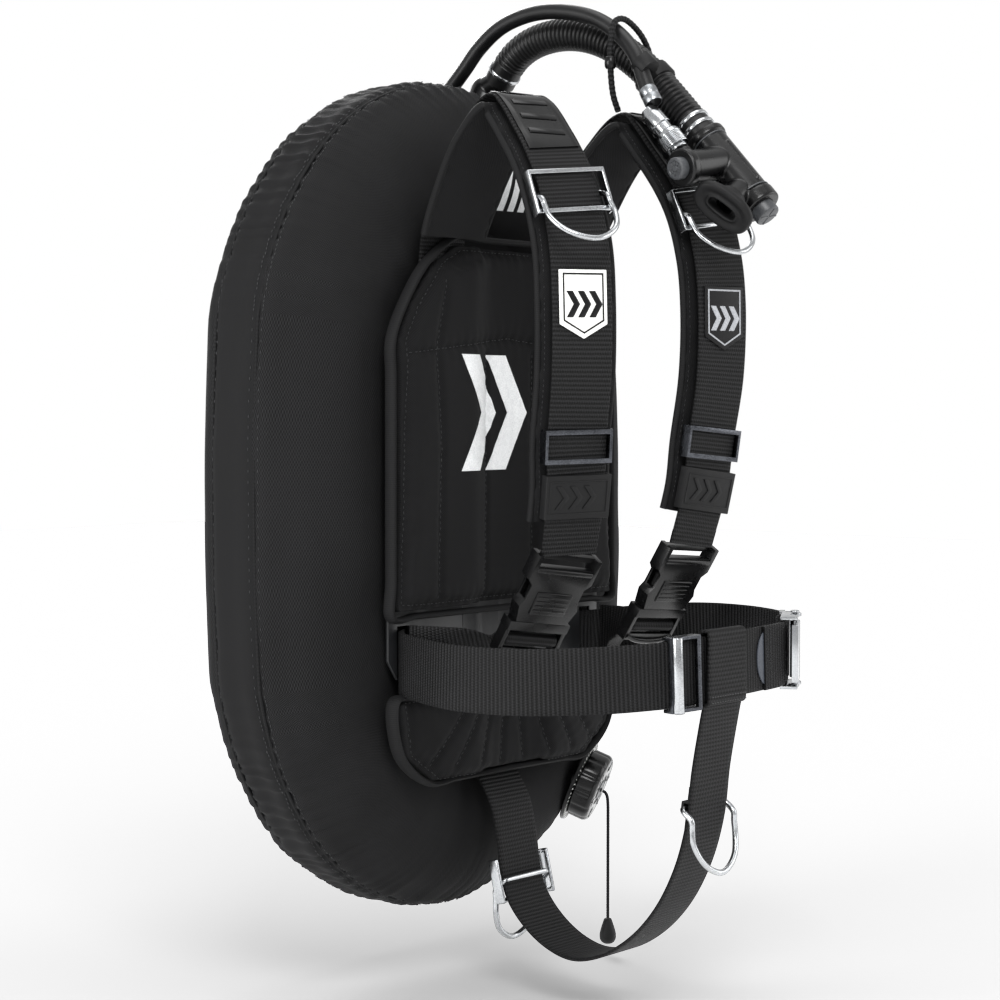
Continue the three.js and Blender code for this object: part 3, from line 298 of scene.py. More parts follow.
# Two-inch nylon webbing: deep ribs and a dull sheen on the floats.
WEBBING = Ribbed("ribbed_nylon_webbing", "webbing", "#010101", "#1c1c1d", 0.62, bump=1.0,
                 depth_mm=0.7, mottle_mm=40, specular=0.16, dark_until=0.52)
THREAD = Finish("bonded_stitch_thread", "padding", "#0c0c0d", "#2e2f31", 0.5, bump=0.3)
PALE_THREAD = Finish("pale_stitch_thread", "soft_rubber", "#6a6c70", "#a8aaae", 0.5, bump=0.3)
# Moulded acetal: smooth with soft wide highlights.
MOULDED = Finish("moulded_black_acetal", "black_plastic", "#020202", "#0b0b0c", 0.26, bump=0.12,
                 depth_mm=0.08, mottle_mm=25, specular=0.24)
SATIN_PLASTIC = Finish("satin_black_nylon_moulding", "black_plastic", "#030303", "#0c0c0d", 0.28,
                       bump=0.1, depth_mm=0.06, mottle_mm=20, specular=0.3)
GREY_PLASTIC = Finish("moulded_grey_polymer", "grey_plastic", "#1c1d1f", "#424447", 0.42,
                      bump=0.15, depth_mm=0.1, mottle_mm=12)
# Moulded rubber: grey bloom over black, no gloss.
RUBBER = Finish("moulded_soft_rubber", "soft_rubber", "#050505", "#121213", 0.55, bump=0.25,
                depth_mm=0.1, mottle_mm=14, specular=0.2)
HOSE_RUBBER = Finish("satin_hose_rubber", "hose_rubber", "#030303", "#0e0e0f", 0.38, bump=0.15,
                     depth_mm=0.08, mottle_mm=18, specular=0.3)
PATCH_RUBBER = Finish("gloss_black_patch_rubber", "soft_rubber", "#020202", "#09090a", 0.22,
                      bump=0.15, depth_mm=0.08, mottle_mm=10, specular=0.3)
WHITE_RUBBER = Finish("moulded_white_rubber", "soft_rubber", "#c9c9c6", "#efefec", 0.5, bump=0.2,
                      depth_mm=0.08, mottle_mm=10)
TAB_RUBBER = Finish("moulded_slate_rubber", "soft_rubber", "#23262d", "#3c414a", 0.5, bump=0.2,
                    mottle_mm=12)
SILVER_PRINT = Finish("reflective_silver_print", "padding", "#b6b8ba", "#eceded", 0.42, bump=0.35,
                      depth_mm=0.12, mottle_mm=6, metallic=0.25)
POLISHED = Metal("polished_stainless_steel", "bright_steel", "#77797c", "#c2c4c6", 0.2, bump=0.05,
                 depth_mm=0.03, mottle_mm=15)
GUNMETAL = Metal("dark_plated_steel", "gunmetal", "#1c1d20", "#5a5c61", 0.28, bump=0.08,
                 depth_mm=0.03, mottle_mm=10)
BRUSHED = Metal("brushed_stainless_steel", "stainless", "#606366", "#a2a5a8", 0.34, bump=0.15,
                depth_mm=0.05, mottle_mm=20)
COATED_STEEL = Finish("powder_coated_steel", "plate_coat", "#0a0a0b", "#1c1d1f", 0.42, bump=0.3,
                      depth_mm=0.12, mottle_mm=25)


# ---- mesh helpers -------------------------------------------------------------------
def point(values: Sequence[float]) -> Vector:
    """Turns three numbers in millimetres into a vector in metres."""
    return Vector(values) * MM


def placed(name: str, shape: Shape) -> Object:
    """Puts a mesh into the scene as an object of its own, and frees the bmesh."""
    mesh = bpy.data.meshes.new(name)
    shape.to_mesh(mesh)
    shape.free()
    made = bpy.data.objects.new(name, mesh)
    bpy.context.scene.collection.objects.link(made)
    return made


@dataclass
class Piece:
    """A finished mesh on its way into the scene."""

    name: str
    finish: Finish
    replaces: str = ""
    body: str = ROOT
    sharp_deg: float = 35.0
    slot: str = ""

    def of(self, shape: Shape, seat: Matrix | None = None) -> Object:
        """Turns a bmesh in metres, freed, into an object at a seat that rides on its body."""
        made = placed(self.name, moved(shape, seat) if seat else shape)
        made.data.polygons.foreach_set("use_smooth", [True] * len(made.data.polygons))
        made.data.set_sharp_from_angle(angle=radians(self.sharp_deg))
        made.data.materials.clear()
        made.data.materials.append(self.finish.material())
        if self.body:
            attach(made, self.body)
        self.slot or self.finish.slot
        if self.replaces:
            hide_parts(self.replaces)
        LOG.info("%s: %d faces", self.name, len(made.data.polygons))
        return made


def wrapped(columns: int, rows: int, place: Callable[[float, float], Corner],
            join_rows: bool = False, join_columns: bool = True, caps: bool = True
            ) -> Shape:
    """Wraps a flat grid onto a surface, with cloth coordinates in metres.

    Args:
        columns: faces round the section.
        rows: faces along the surface.
        place: section share and run share to a place and its cloth coordinates.
        join_rows: whether the last row meets the first.
        join_columns: whether the section is closed.
        caps: whether open ends are filled.

    Returns:
        The bmesh, with its faces outwards where it is closed.
    """
    shape = bmesh.new()
    cloth = shape.loops.layers.uv.new("cloth")
    bmesh.ops.create_grid(shape, x_segments=columns, y_segments=rows, size=1.0)
    found = {}
    for vert in shape.verts:
        found[vert] = place((vert.co.x + 1) / 2, (vert.co.y + 1) / 2)
    for face in shape.faces:
        for loop in face.loops:
            loop[cloth].uv = found[loop.vert][1]
    for vert, (spot, _) in found.items():
        vert.co = spot
    if join_rows or join_columns:
        bmesh.ops.remove_doubles(shape, verts=shape.verts[:], dist=1e-6)
    if caps and join_columns and not join_rows:
        rims = [edge for edge in shape.edges if edge.is_boundary]
        bmesh.ops.holes_fill(shape, edges=rims, sides=0)
    if join_columns:
        bmesh.ops.recalc_face_normals(shape, faces=shape.faces[:])
    return shape


class Curve:
    """A centripetal Catmull-Rom curve, the same one that the frame's straps follow."""

    STEPS = 400

    def __init__(self, points: Iterable[Vector], closed: bool = False) -> None:
        """Measures the curve through the points, in metres."""
        self.points = list(points)
        self.closed = closed
        spots = [self._point(step / self.STEPS) for step in range(self.STEPS + 1)]
        self.lengths = [0.0]
        for first, second in zip(spots, spots[1:]):
            self.lengths.append(self.lengths[-1] + (second - first).length)
        self.length = self.lengths[-1]

    def _point(self, share: float) -> Vector:
        """Returns the place at a share of the parameter."""
        points, count = self.points, len(self.points)
        run = (count - (0 if self.closed else 1)) * share
        index = math.floor(run)
        weight = run - index
        if self.closed:
            first, second, third, fourth = (points[(index + k) % count] for k in (-1, 0, 1, 2))
        else:
            if index >= count - 1:
                index, weight = count - 2, 1.0
            second, third = points[index], points[index + 1]
            first = points[index - 1] if index > 0 else 2 * second - third
            fourth = points[index + 2] if index + 2 < count else 2 * third - second
        gaps = [max((b - a).length_squared ** 0.25, 1e-9)
                for a, b in ((first, second), (second, third), (third, fourth))]
        leave = ((second - first) / gaps[0] - (third - first) / (gaps[0] + gaps[1])
                 + (third - second) / gaps[1]) * gaps[1]
        reach = ((third - second) / gaps[1] - (fourth - second) / (gaps[1] + gaps[2])
                 + (fourth - third) / gaps[2]) * gaps[1]
        square = -3 * second + 3 * third - 2 * leave - reach
        cube = 2 * second - 2 * third + leave + reach
        return second + leave * weight + square * weight ** 2 + cube * weight ** 3

    def parameter(self, share: float) -> float:
        """Turns a share of the length into a share of the parameter."""
        aim = min(max(share, 0.0), 1.0) * self.length
        low, high = 0, self.STEPS
        while high - low > 1:
            middle = (low + high) // 2
            low, high = (middle, high) if self.lengths[middle] <= aim else (low, middle)
        span = self.lengths[high] - self.lengths[low]
        return (low + (aim - self.lengths[low]) / span) / self.STEPS if span else 0.0

    def at(self, share: float) -> Vector:
        """Returns the place at a share of the length."""
        return self._point(self.parameter(share))

    def along(self, share: float) -> Vector:
        """Returns the unit direction at a share of the length."""
        low, high = max(share - 1e-3, 0.0), min(share + 1e-3, 1.0)
        if self.closed:
            low, high = share, share + 1e-3
            if high > 1.0:
                low, high = share - 1e-3, share
        return (self.at(high) - self.at(low)).normalized()

    def frames(self, count: int, guide: Vector) -> list[tuple[Vector, Vector, Vector]]:
        """Carries a guide direction along the curve without twisting it.

        Args:
            count: steps along the curve.
            guide: the first side direction.

        Returns:
            A place and two side directions for each step.
        """
        made = []
        side = guide
        for step in range(count + 1):
            share = step / count
            run = self.along(share)
            base = guide if self.closed else side
            side = (base - run * base.dot(run)).normalized()
            made.append((self.at(share), side, run.cross(side)))
        return made

    def polyline(self, count: int = 60) -> list[tuple[float, float, float]]:
        """Returns evenly spread places as plain numbers."""
        return [tuple(self.at(step / count)) for step in range(count + 1)]


def tube(curve: Curve, radius: Callable[[float, float], float], rows: int, columns: int = 16,
         guide: Vector = X_AXIS, caps: bool = True) -> Shape:
    """Sweeps a round section along a curve.

    Args:
        curve: the centre line.
        radius: run share and section angle to a radius in metres.
        rows: steps along it.
        columns: steps round it.
        guide: a direction that is never along the curve's start.
        caps: whether open ends are filled.

    Returns:
        The bmesh.
    """
    frames = curve.frames(rows, guide)

    def place(around: float, run: float) -> Corner:
        """Puts one corner of the grid on the tube."""
        centre, side, up = frames[round(run * rows) % (rows if curve.closed else rows + 1)]
        angle = around * 2 * pi
        size = radius(run, angle)
        spot = centre + side * (size * cos(angle)) + up * (size * sin(angle))
        return spot, (run * curve.length, around * 2 * pi * size)

    return wrapped(columns, rows, place, join_rows=curve.closed, caps=caps)


def turned(profile: Sequence[Pair], steps: int = 64) -> Shape:
    """Spins a profile about Z.

    Args:
        profile: radius and height pairs in millimetres; a closed loop, or open from axis to axis.
        steps: faces round it.

    Returns:
        The bmesh, faces outwards.
    """
    shape = bmesh.new()
    verts = [shape.verts.new((radius * MM, 0.0, height * MM)) for radius, height in profile]
    edges = [shape.edges.new(pair) for pair in zip(verts, verts[1:])]
    bmesh.ops.spin(shape, geom=verts + edges, cent=(0, 0, 0), axis=(0, 0, 1), dvec=(0, 0, 0),
                   angle=2 * pi, steps=steps, use_merge=True)
    bmesh.ops.remove_doubles(shape, verts=shape.verts[:], dist=1e-6)
    bmesh.ops.recalc_face_normals(shape, faces=shape.faces[:])
    return shape


def soften(shape: Shape, width_mm: float, segments: int = 2, above_deg: float = 28.0) -> Shape:
    """Bevels every edge that folds more than an angle, and returns the same bmesh."""
    bmesh.ops.dissolve_limit(shape, angle_limit=radians(2.0), verts=shape.verts[:],
                             edges=shape.edges[:])
    sharp = [edge for edge in shape.edges if len(edge.link_faces) == 2
             and edge.calc_face_angle(0.0) > radians(above_deg)]
    bmesh.ops.bevel(shape, geom=sharp, offset=width_mm * MM, offset_type="OFFSET",
                    segments=segments, profile=0.5, affect="EDGES", material=-1,
                    clamp_overlap=True)
    return shape


def block(size: Triple, centre: Triple = (0, 0, 0), round_mm: float = 0.8,
          segments: int = 3) -> Shape:
    """Makes a box with rounded edges, sizes in millimetres."""
    shape = bmesh.new()
    bmesh.ops.create_cube(shape, size=1.0)
    bmesh.ops.scale(shape, vec=point(size), verts=shape.verts[:])
    bmesh.ops.translate(shape, vec=point(centre), verts=shape.verts[:])
    return soften(shape, round_mm, segments)


def plate_shape(corners: Sequence[Pair], low: float, high: float,
                round_mm: float = 0.5, segments: int = 2) -> Shape:
    """Raises a flat outline in X and Z into a plate along Y, sizes in millimetres."""
    shape = bmesh.new()
    verts = [shape.verts.new((x * MM, low * MM, z * MM)) for x, z in corners]
    face = shape.faces.new(verts)
    raised = bmesh.ops.extrude_face_region(shape, geom=[face])["geom"]
    top = [item for item in raised if isinstance(item, bmesh.types.BMVert)]
    bmesh.ops.translate(shape, vec=(0, (high - low) * MM, 0), verts=top)
    bmesh.ops.recalc_face_normals(shape, faces=shape.faces[:])
    return soften(shape, round_mm, segments)


def merged(parts: Iterable[Shape]) -> Shape:
    """Puts several meshes into one, freeing them."""
    whole = bmesh.new()
    for part in parts:
        loose = bpy.data.meshes.new("loose")
        part.to_mesh(loose)
        part.free()
        whole.from_mesh(loose)
        bpy.data.meshes.remove(loose)
    return whole


def moved(shape: Shape, matrix: Matrix) -> Shape:
    """Applies a placement to a mesh and returns it."""
    bmesh.ops.transform(shape, matrix=matrix, verts=shape.verts[:])
    return shape


def node_copy(name: str, weld: float = 2e-5) -> Shape:
    """Copies a frame node's mesh, welded."""
    shape = bmesh.new()
    shape.from_mesh(bpy.data.objects[name].data)
    bmesh.ops.remove_doubles(shape, verts=shape.verts[:], dist=weld)
    return shape


def carved(holder: Object, cutters: Iterable[Shape]) -> Shape:
    """Cuts solids out of an object, with sharp rims, and removes every object used.

    Args:
        holder: the object, whose modifiers act first.
        cutters: the solids to take away.

    Returns:
        The skin that is left.
    """
    used = [holder]
    for cutter in cutters:
        used.append(placed("cutter", cutter))
        bore = holder.modifiers.new("bore", "BOOLEAN")
        bore.operation, bore.solver, bore.object = "DIFFERENCE", "EXACT", used[-1]
    result = bmesh.new()
    graph = bpy.context.evaluated_depsgraph_get()
    graph.update()
    result.from_object(holder, graph)
    for item in used:
        bpy.data.objects.remove(item)
    return result


def melting(holder: Object, voxel_mm: float, smooth: int) -> Object:
    """Adds the modifiers that melt an object into one skin and then calm it."""
    melt = holder.modifiers.new("melt", "REMESH")
    melt.mode, melt.voxel_size = "VOXEL", voxel_mm * MM
    calm = holder.modifiers.new("calm", "SMOOTH")
    calm.iterations, calm.factor = smooth, 0.5
    return holder


def fused(shape: Shape, voxel_mm: float, smooth: int, cutters: Sequence[Shape]) -> Shape:
    """Melts overlapping solids into one skin with soft inner corners, then cuts bores.

    Args:
        shape: the overlapping solids.
        voxel_mm: the cell size, which sets how soft the corners are.
        smooth: rounds of smoothing after the melt.
        cutters: solids to take away at the end, with sharp rims.

    Returns:
        The new skin.
    """
    return carved(melting(placed("melt", shape), voxel_mm, smooth), cutters)


def repeated(count: int, make: Callable[[int], Shape], start: float = 0.0) -> Shape:
    """Repeats a shape at equal steps about Z.

    Args:
        count: how many.
        make: makes one from its number.
        start: where the first is, in steps.

    Returns:
        The bmesh.
    """
    return merged(moved(make(step), Matrix.Rotation((step + start) * 2 * pi / count, 4, "Z"))
                  for step in range(count))


def aimed(place: Vector, way: Vector) -> Matrix:
    """Returns a placement, in metres, whose z axis runs along a unit direction."""
    made = Z_AXIS.rotation_difference(way).to_matrix().to_4x4()
    made.translation = place
    return made


def dressed(name: str, finish: Finish, node: str, round_mm: float, segments: int = 3,
            above_deg: float = 35, body: str = ROOT) -> Object:
    """Dresses a frame node in its own shape with softened edges.

    Args:
        name: the piece's name.
        finish: its finish.
        node: the frame's node.
        round_mm: how wide the softened edges are.
        segments: faces across a softened edge.
        above_deg: the fold from which an edge is softened.
        body: what it rides on.

    Returns:
        The piece.
    """
    return Piece(name, finish, node, body).of(
        soften(node_copy(node), round_mm, segments, above_deg))


def rod(radius: float, low: float, high: float, axis: str = "Z", segments: int = 48,
        centre: Pair = (0, 0)) -> Shape:
    """Makes a round bar between two heights along Z or X, sizes in millimetres."""
    shape = bmesh.new()
    bmesh.ops.create_cone(shape, cap_ends=True, segments=segments, radius1=radius * MM,
                          radius2=radius * MM, depth=(high - low) * MM)
    middle = (low + high) / 2
    spot = (*centre, middle)
    if axis == "X":
        moved(shape, Matrix.Rotation(pi / 2, 4, "Y"))
        spot = (middle, *centre)
    return moved(shape, Matrix.Translation(point(spot)))


# ---- straps -------------------------------------------------------------------------
class StrapRoute(Curve):
    """A strap's route, with the heading of its width at each point."""

    def __init__(self, points: Iterable[Vector], widths: Sequence[Vector]) -> None:
        """Keeps the points and headings."""
        super().__init__(points)
        self.widths = [Vector(width) for width in widths]

    def frame(self, share: float) -> tuple[Vector, Vector, Vector, Vector]:
        """Returns the place, run, width and outer side at a share of the length."""
        share = min(max(share, 0.0), 1.0)
        along = self.along(share)
        spot = self.parameter(share) * (len(self.widths) - 1)
        index = min(math.floor(spot), len(self.widths) - 2)
        across = self.widths[index].lerp(self.widths[index + 1], spot - index)
        across = (across - along * across.dot(along)).normalized()
        return self.at(share), along, across, along.cross(across)

    def near(self, axis: int, value_mm: float, start: float, stop: float) -> float:
        """Returns the share between two shares that lies nearest to a coordinate."""
        shares = [start + (stop - start) * step / 200 for step in range(201)]
        return min(shares, key=lambda share: abs(self.at(share)[axis] - value_mm * MM))

    def seat(self, share: float, lift_mm: float = 0.0, backwards: bool = False) -> Matrix:
        """Returns a placement: x across, y outwards, z along, or back along."""
        place, along, across, outward = self.frame(share)
        turn = -1.0 if backwards else 1.0
        made = Matrix((across * turn, outward, along * turn)).transposed().to_4x4()
        made.translation = place + outward * (lift_mm * MM)
        return made


def flat_section(half: float, thick: float, spans: int = 10, edge: int = 3,
                 crown: float = 0.0) -> list[Pair]:
    """Lists the corners of a flat section with round edges, in millimetres.

    Args:
        half: half its width.
        thick: half its thickness.
        spans: faces across each side.
        edge: faces round each edge.
        crown: how much thicker the middle is than the edges.

    Returns:
        Corner places as x and y pairs.
    """
    flat = half - thick
    corners = []
    for side in (1, -1):
        for step in range(spans + 1):
            x = side * flat * (2 * step / spans - 1)
            rise = crown * (1 - (x / half) ** 2) ** 0.7
            corners.append((x, side * (thick + rise)))
        for step in range(1, edge):
            angle = pi / 2 - pi * step / edge
            corners.append((side * (flat + thick * cos(angle)), side * thick * sin(angle)))
    return corners


def band(route: StrapRoute, start: float, stop: float, section: list[Pair],
         rows: int, lift_mm: float = 0.0,
         widen: Callable[[float], float] = lambda share: 1.0,
         ripple: Callable[[float, float], float] = lambda share, x: 0.0) -> Shape:
    """Lays a flat section along part of a route.

    Args:
        route: the strap's route.
        start: the share of its length where the band starts.
        stop: the share where it ends.
        section: corners across and outwards, in millimetres.
        rows: steps along it.
        lift_mm: how far it stands off the route.
        widen: share of the route to a factor on the width.
        ripple: share and place across to an extra lift in millimetres.

    Returns:
        The bmesh.
    """
    columns = len(section)
    frames = [route.frame(start + (stop - start) * row / rows) for row in range(rows + 1)]

    def place(around: float, run: float) -> Corner:
        """Puts one corner of the grid on the band."""
        share = start + (stop - start) * run
        centre, _, across, outward = frames[round(run * rows)]
        x, y = section[round(around * columns) % columns]
        x *= widen(share)
        up = lift_mm + y + ripple(share, x)
        spot = centre + across * (x * MM) + outward * (up * MM)
        return spot, (share * route.length, x * MM + (0.1 if y < 0 else 0.0))

    return wrapped(columns, rows, place)


def stitches(spots: Sequence[tuple[Vector, Vector, Vector]], long_mm: float = 2.4,
             thick_mm: float = 0.5) -> Shape:
    """Makes a row of stitches.

    Args:
        spots: place, run and outward direction of each stitch.
        long_mm: length of a stitch.
        thick_mm: thickness of the thread.

    Returns:
        The bmesh.
    """
    whole = bmesh.new()
    for centre, along, outward in spots:
        side = along.cross(outward).normalized()
        turn = Matrix((side, along, outward)).transposed().to_4x4()
        turn.translation = centre
        size = Matrix.Diagonal((thick_mm * MM / 2, long_mm * MM / 2, thick_mm * MM / 2, 1.0))
        bmesh.ops.create_icosphere(whole, subdivisions=1, radius=1.0, matrix=turn @ size)
    return whole


def stitch_rows(route: StrapRoute, start: float, stop: float, offsets: Sequence[float],
                lift_mm: float, pitch_mm: float = 4.2) -> Shape:
    """Runs stitch rows along a strap at offsets across it, in millimetres."""
    count = max(2, int((stop - start) * route.length / (pitch_mm * MM)))
    spots = []
    for offset in offsets:
        for step in range(count):
            share = start + (stop - start) * (step + 0.5) / count
            centre, along, across, outward = route.frame(share)
            place = centre + across * (offset * MM) + outward * (lift_mm * MM)
            spots.append((place, along, outward * (1 if lift_mm > 0 else -1)))
    return stitches(spots)


def bar_loop(seat: Matrix, centre: Pair, radius: float, start: float, across: Vector,
             section: list[Pair]) -> Shape:
    """Wraps webbing nearly once round a bar that lies along the seat's X.

    Args:
        seat: the placement.
        centre: the bar's place in the seat's Y and Z, in millimetres.
        radius: from the bar's axis to the webbing's middle.
        start: the angle where the loop opens.
        across: the direction of its width.
        section: the webbing's corners.

    Returns:
        The bmesh.
    """
    spots = []
    for step in range(13):
        angle = start + 2 * pi * step / 14
        spots.append(seat @ point((0, centre[0] + radius * cos(angle),
                                   centre[1] + radius * sin(angle))))
    return band(StrapRoute(spots, [across] * 13), 0, 1, section, 40)


def bar_tack(centre: Vector, across: Vector, outward: Vector, count: int = 14
             ) -> list[tuple[Vector, Vector, Vector]]:
    """Spreads the stitches of one row across a strap, about a place in metres."""
    return [(centre + across * ((step - (count - 1) / 2) * 3.4 * MM), across, outward)
            for step in range(count)]


# ---- the studio ---------------------------------------------------------------------
@dataclass
class Studio:
    """Camera, soft lights and a pale floor."""

    azimuth: float = -50.0
    elevation: float = 2.3
    distance: float = 1900.0
    aim: Triple = (13.0, -15.5, -2.5)
    lens: float = 81.4
    floor_z: float = -410.0

    def build(self) -> None:
        """Sets the camera, the lights, the floor and the surroundings."""
        scene = bpy.context.scene
        turn, rise = radians(self.azimuth), radians(self.elevation)
        way = Vector((sin(turn) * cos(rise), -cos(turn) * cos(rise), sin(rise)))
        lens = bpy.data.cameras.new("camera")
        lens.lens = self.lens
        lens.sensor_width = 36.0
        lens.clip_end = 50.0
        camera = bpy.data.objects.new("camera", lens)
        camera.location = point(self.aim) + way * (self.distance * MM)
        camera.rotation_euler = (-way).to_track_quat("-Z", "Y").to_euler()
        scene.collection.objects.link(camera)
        scene.camera = camera
        self.light("key", (-1.5, -1.7, 1.9), 1.2, 58)
        self.light("fill", (1.7, -1.8, 0.7), 1.6, 22)
        self.light("side", (-2.3, 0.5, 0.5), 1.2, 46)
        self.light("rim", (1.3, 1.7, 1.5), 1.2, 40)
        self.light("top", (0.0, -0.2, 2.4), 1.6, 22)
        world = bpy.data.worlds.new("studio")
        world.use_nodes = True
        backdrop = world.node_tree.nodes["Background"]
        backdrop.inputs[0].default_value = (1.0, 1.0, 1.0, 1)
        seen = add_node(world.node_tree, "LightPath").outputs["Is Camera Ray"]
        strength = add_node(world.node_tree, "Math",
                            {"operation": "MULTIPLY_ADD", 1: 0.2, 2: 0.8}, {0: seen})
        world.node_tree.links.new(strength.outputs[0], backdrop.inputs[1])
        scene.world = world
        scene.view_settings.view_transform = "Standard"
        shape = bmesh.new()
        bmesh.ops.create_grid(shape, x_segments=1, y_segments=1, size=6.0)
        bmesh.ops.translate(shape, vec=(0, 0, self.floor_z * MM), verts=shape.verts[:])
        floor = placed("floor", shape)
        pale = Finish("pale_studio_floor", "stage", "#eeeeee", "#f6f6f6", 0.9, bump=0.0,
                      mottle_mm=400, specular=0.1)
        floor.data.materials.append(pale.material())
        floor.is_shadow_catcher = True

    def light(self, name: str, place: Triple, size: float, power: float) -> None:
        """Adds one square soft light, in metres and watts, turned to the middle."""
        data = bpy.data.lights.new(name, "AREA")
        data.size = size
        data.energy = power
        lamp = bpy.data.objects.new(name, data)
        lamp.location = place
        lamp.rotation_euler = (-Vector(place)).to_track_quat("-Z", "Y").to_euler()
        bpy.context.scene.collection.objects.link(lamp)


# ---- hoses and cords ----------------------------------------------------------------
@dataclass
class Hoses:
    """The corrugated hose, the thin pressure hose, the bungee that holds them, and the clip."""

    wide: float = 14.0
    thin: float = 6.5
    bungee: float = 2.6
    rib_pitch: float = 4.3
    cuff: float = 19.0
    wide_points: tuple[Triple, ...] = (
        (81, 42, 359), (79, 33, 368), (77.5, 20, 379), (77, 2, 387.5), (77, -20, 391.5),
        (77.5, -42, 391), (78.5, -64, 386), (80, -86, 376), (81.5, -106, 362.5),
        (83.5, -124, 346), (85, -141, 328), (86.2, -156, 311.5), (87, -170, 296))
    thin_points: tuple[Triple, ...] = (
        (49, -148, 321), (50, -142.5, 329.5), (52, -135.5, 343), (55, -126, 361),
        (58, -108, 380), (58, -84, 396), (57, -52, 406), (56, -16, 408.5), (55.5, 18, 401),
        (56, 43, 386), (56.5, 63, 367), (57, 82, 350.5), (57, 104, 337), (57, 126, 320.5),
        (57, 140, 298), (57, 146, 272), (57, 147, 244), (57, 147, 215), (57, 147, 190),
        (57, 147, 166), (57, 147, 146))
    bungee_points: tuple[Triple, ...] = (
        (58, -105, 319), (51, -105, 332), (46, -106, 355), (45.5, -107, 378), (50, -107, 391),
        (61, -107, 395), (76, -107, 391), (90, -107.5, 381), (99, -108, 367),
        (102.5, -109, 350), (105, -111, 334), (105, -114, 320))

    def build(self) -> None:
        """Makes the hoses and what is on them."""
        self.corrugated()
        self.pressure()
        self.loop()
        dressed("hose_clip_band", RUBBER, "hose_clip", 0.7, 2)

    def corrugated(self) -> None:
        """Makes the wide hose: a smooth cuff at each end and round ribs between."""
        curve = Curve(point(spot) for spot in self.wide_points)
        cuff = self.cuff * MM / curve.length
        ribs = round((1 - 2 * cuff) * curve.length / (self.rib_pitch * MM))

        def radius(run: float, _: float) -> float:
            """Returns the rib or cuff radius."""
            if run < cuff or run > 1 - cuff:
                return (self.wide - 0.4) * MM
            wave = cos((run - cuff) / (1 - 2 * cuff) * ribs * 2 * pi)
            return (self.wide - 1.1 + 1.1 * copysign(abs(wave) ** 0.7, wave)) * MM

        hose = Piece("corrugated_hose", HOSE_RUBBER, replaces="inflator_hose",
                     sharp_deg=80).of(tube(curve, radius, 620, 28))
        tuple(curve.at(0))
        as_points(curve.polyline(60))
        bands = []
        for share in (cuff * 0.55, 1 - cuff * 0.35, 1 - cuff * 0.8):
            bands.append(moved(turned([
                (13.4, -1.7), (14.5, -1.7), (14.8, -1.2), (14.8, 1.2), (14.5, 1.7), (13.4, 1.7),
                (13.4, -1.7)], 48), aimed(curve.at(share), curve.along(share))))
        Piece("hose_bands", POLISHED).of(merged(bands))

    def pressure(self) -> None:
        """Makes the thin hose with its crimped ends and the fitting that hangs from it."""
        curve = Curve(point(spot) for spot in self.thin_points)
        shape = tube(curve, lambda run, angle: self.thin * MM, 260, 20)
        hose = Piece("pressure_hose", HOSE_RUBBER,
                     replaces="low_pressure_hose", sharp_deg=80).of(shape)
        end = self.thin_points[-1]
        hexagon = rod(8.6, end[2] - 13.4, end[2] - 0.4, "Z", 6, (end[0], end[1]))
        soften(hexagon, 0.8, 3)
        thread = [(0.0, -27.0), (4.6, -27.0), (5.1, -26.2)]
        for ring in range(7):
            thread += [(5.4, -25.4 + ring * 1.5), (4.9, -24.7 + ring * 1.5)]
        thread += [(5.0, -13.4), (0.0, -13.4)]
        screw = moved(turned(thread, 40), Matrix.Translation(point(end)))
        fitting = Piece("hose_end_fitting", BRUSHED, slot="bright_steel",
                        replaces="tank_end_fitting").of(merged([hexagon, screw]))
        tuple(curve.at(0))
        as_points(curve.polyline(90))
        ends = (aimed(curve.at(0.0), curve.along(0.012)), aimed(curve.at(0.97), curve.along(0.99)))
        crimp = [(6.5, 0), (7.2, 0), (7.5, 1), (7.5, 6), (7.1, 7), (7.5, 8), (7.5, 13),
                 (7.1, 14.5), (6.5, 14.5), (6.5, 0)]
        Piece("hose_crimps", BRUSHED, slot="bright_steel").of(merged(
            moved(turned(crimp, 40), place) for place in ends))

    def loop(self) -> None:
        """Makes the elastic loop round both hoses, with its bead."""
        curve = Curve(point(spot) for spot in self.bungee_points)

        def radius(run: float, angle: float) -> float:
            """Returns the braided cord's radius."""
            twist = sin(2 * angle + run * 260) * 0.12
            return (self.bungee - 0.1 + twist) * MM

        loop = Piece("bungee_loop", WEBBING, slot="elastic_cord", replaces="hose_bungee",
                     sharp_deg=80).of(tube(curve, radius, 320, 14))
        tuple(curve.at(0))
        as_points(curve.polyline(50))
        bead = turned([(0, -5), (3.4, -5), (4.6, -3.4), (4.9, 0), (4.6, 3.4), (3.4, 5), (0, 5)],
                      32)
        Piece("bungee_bead", MOULDED).of(bead, Matrix.Translation(curve.at(0.22)))


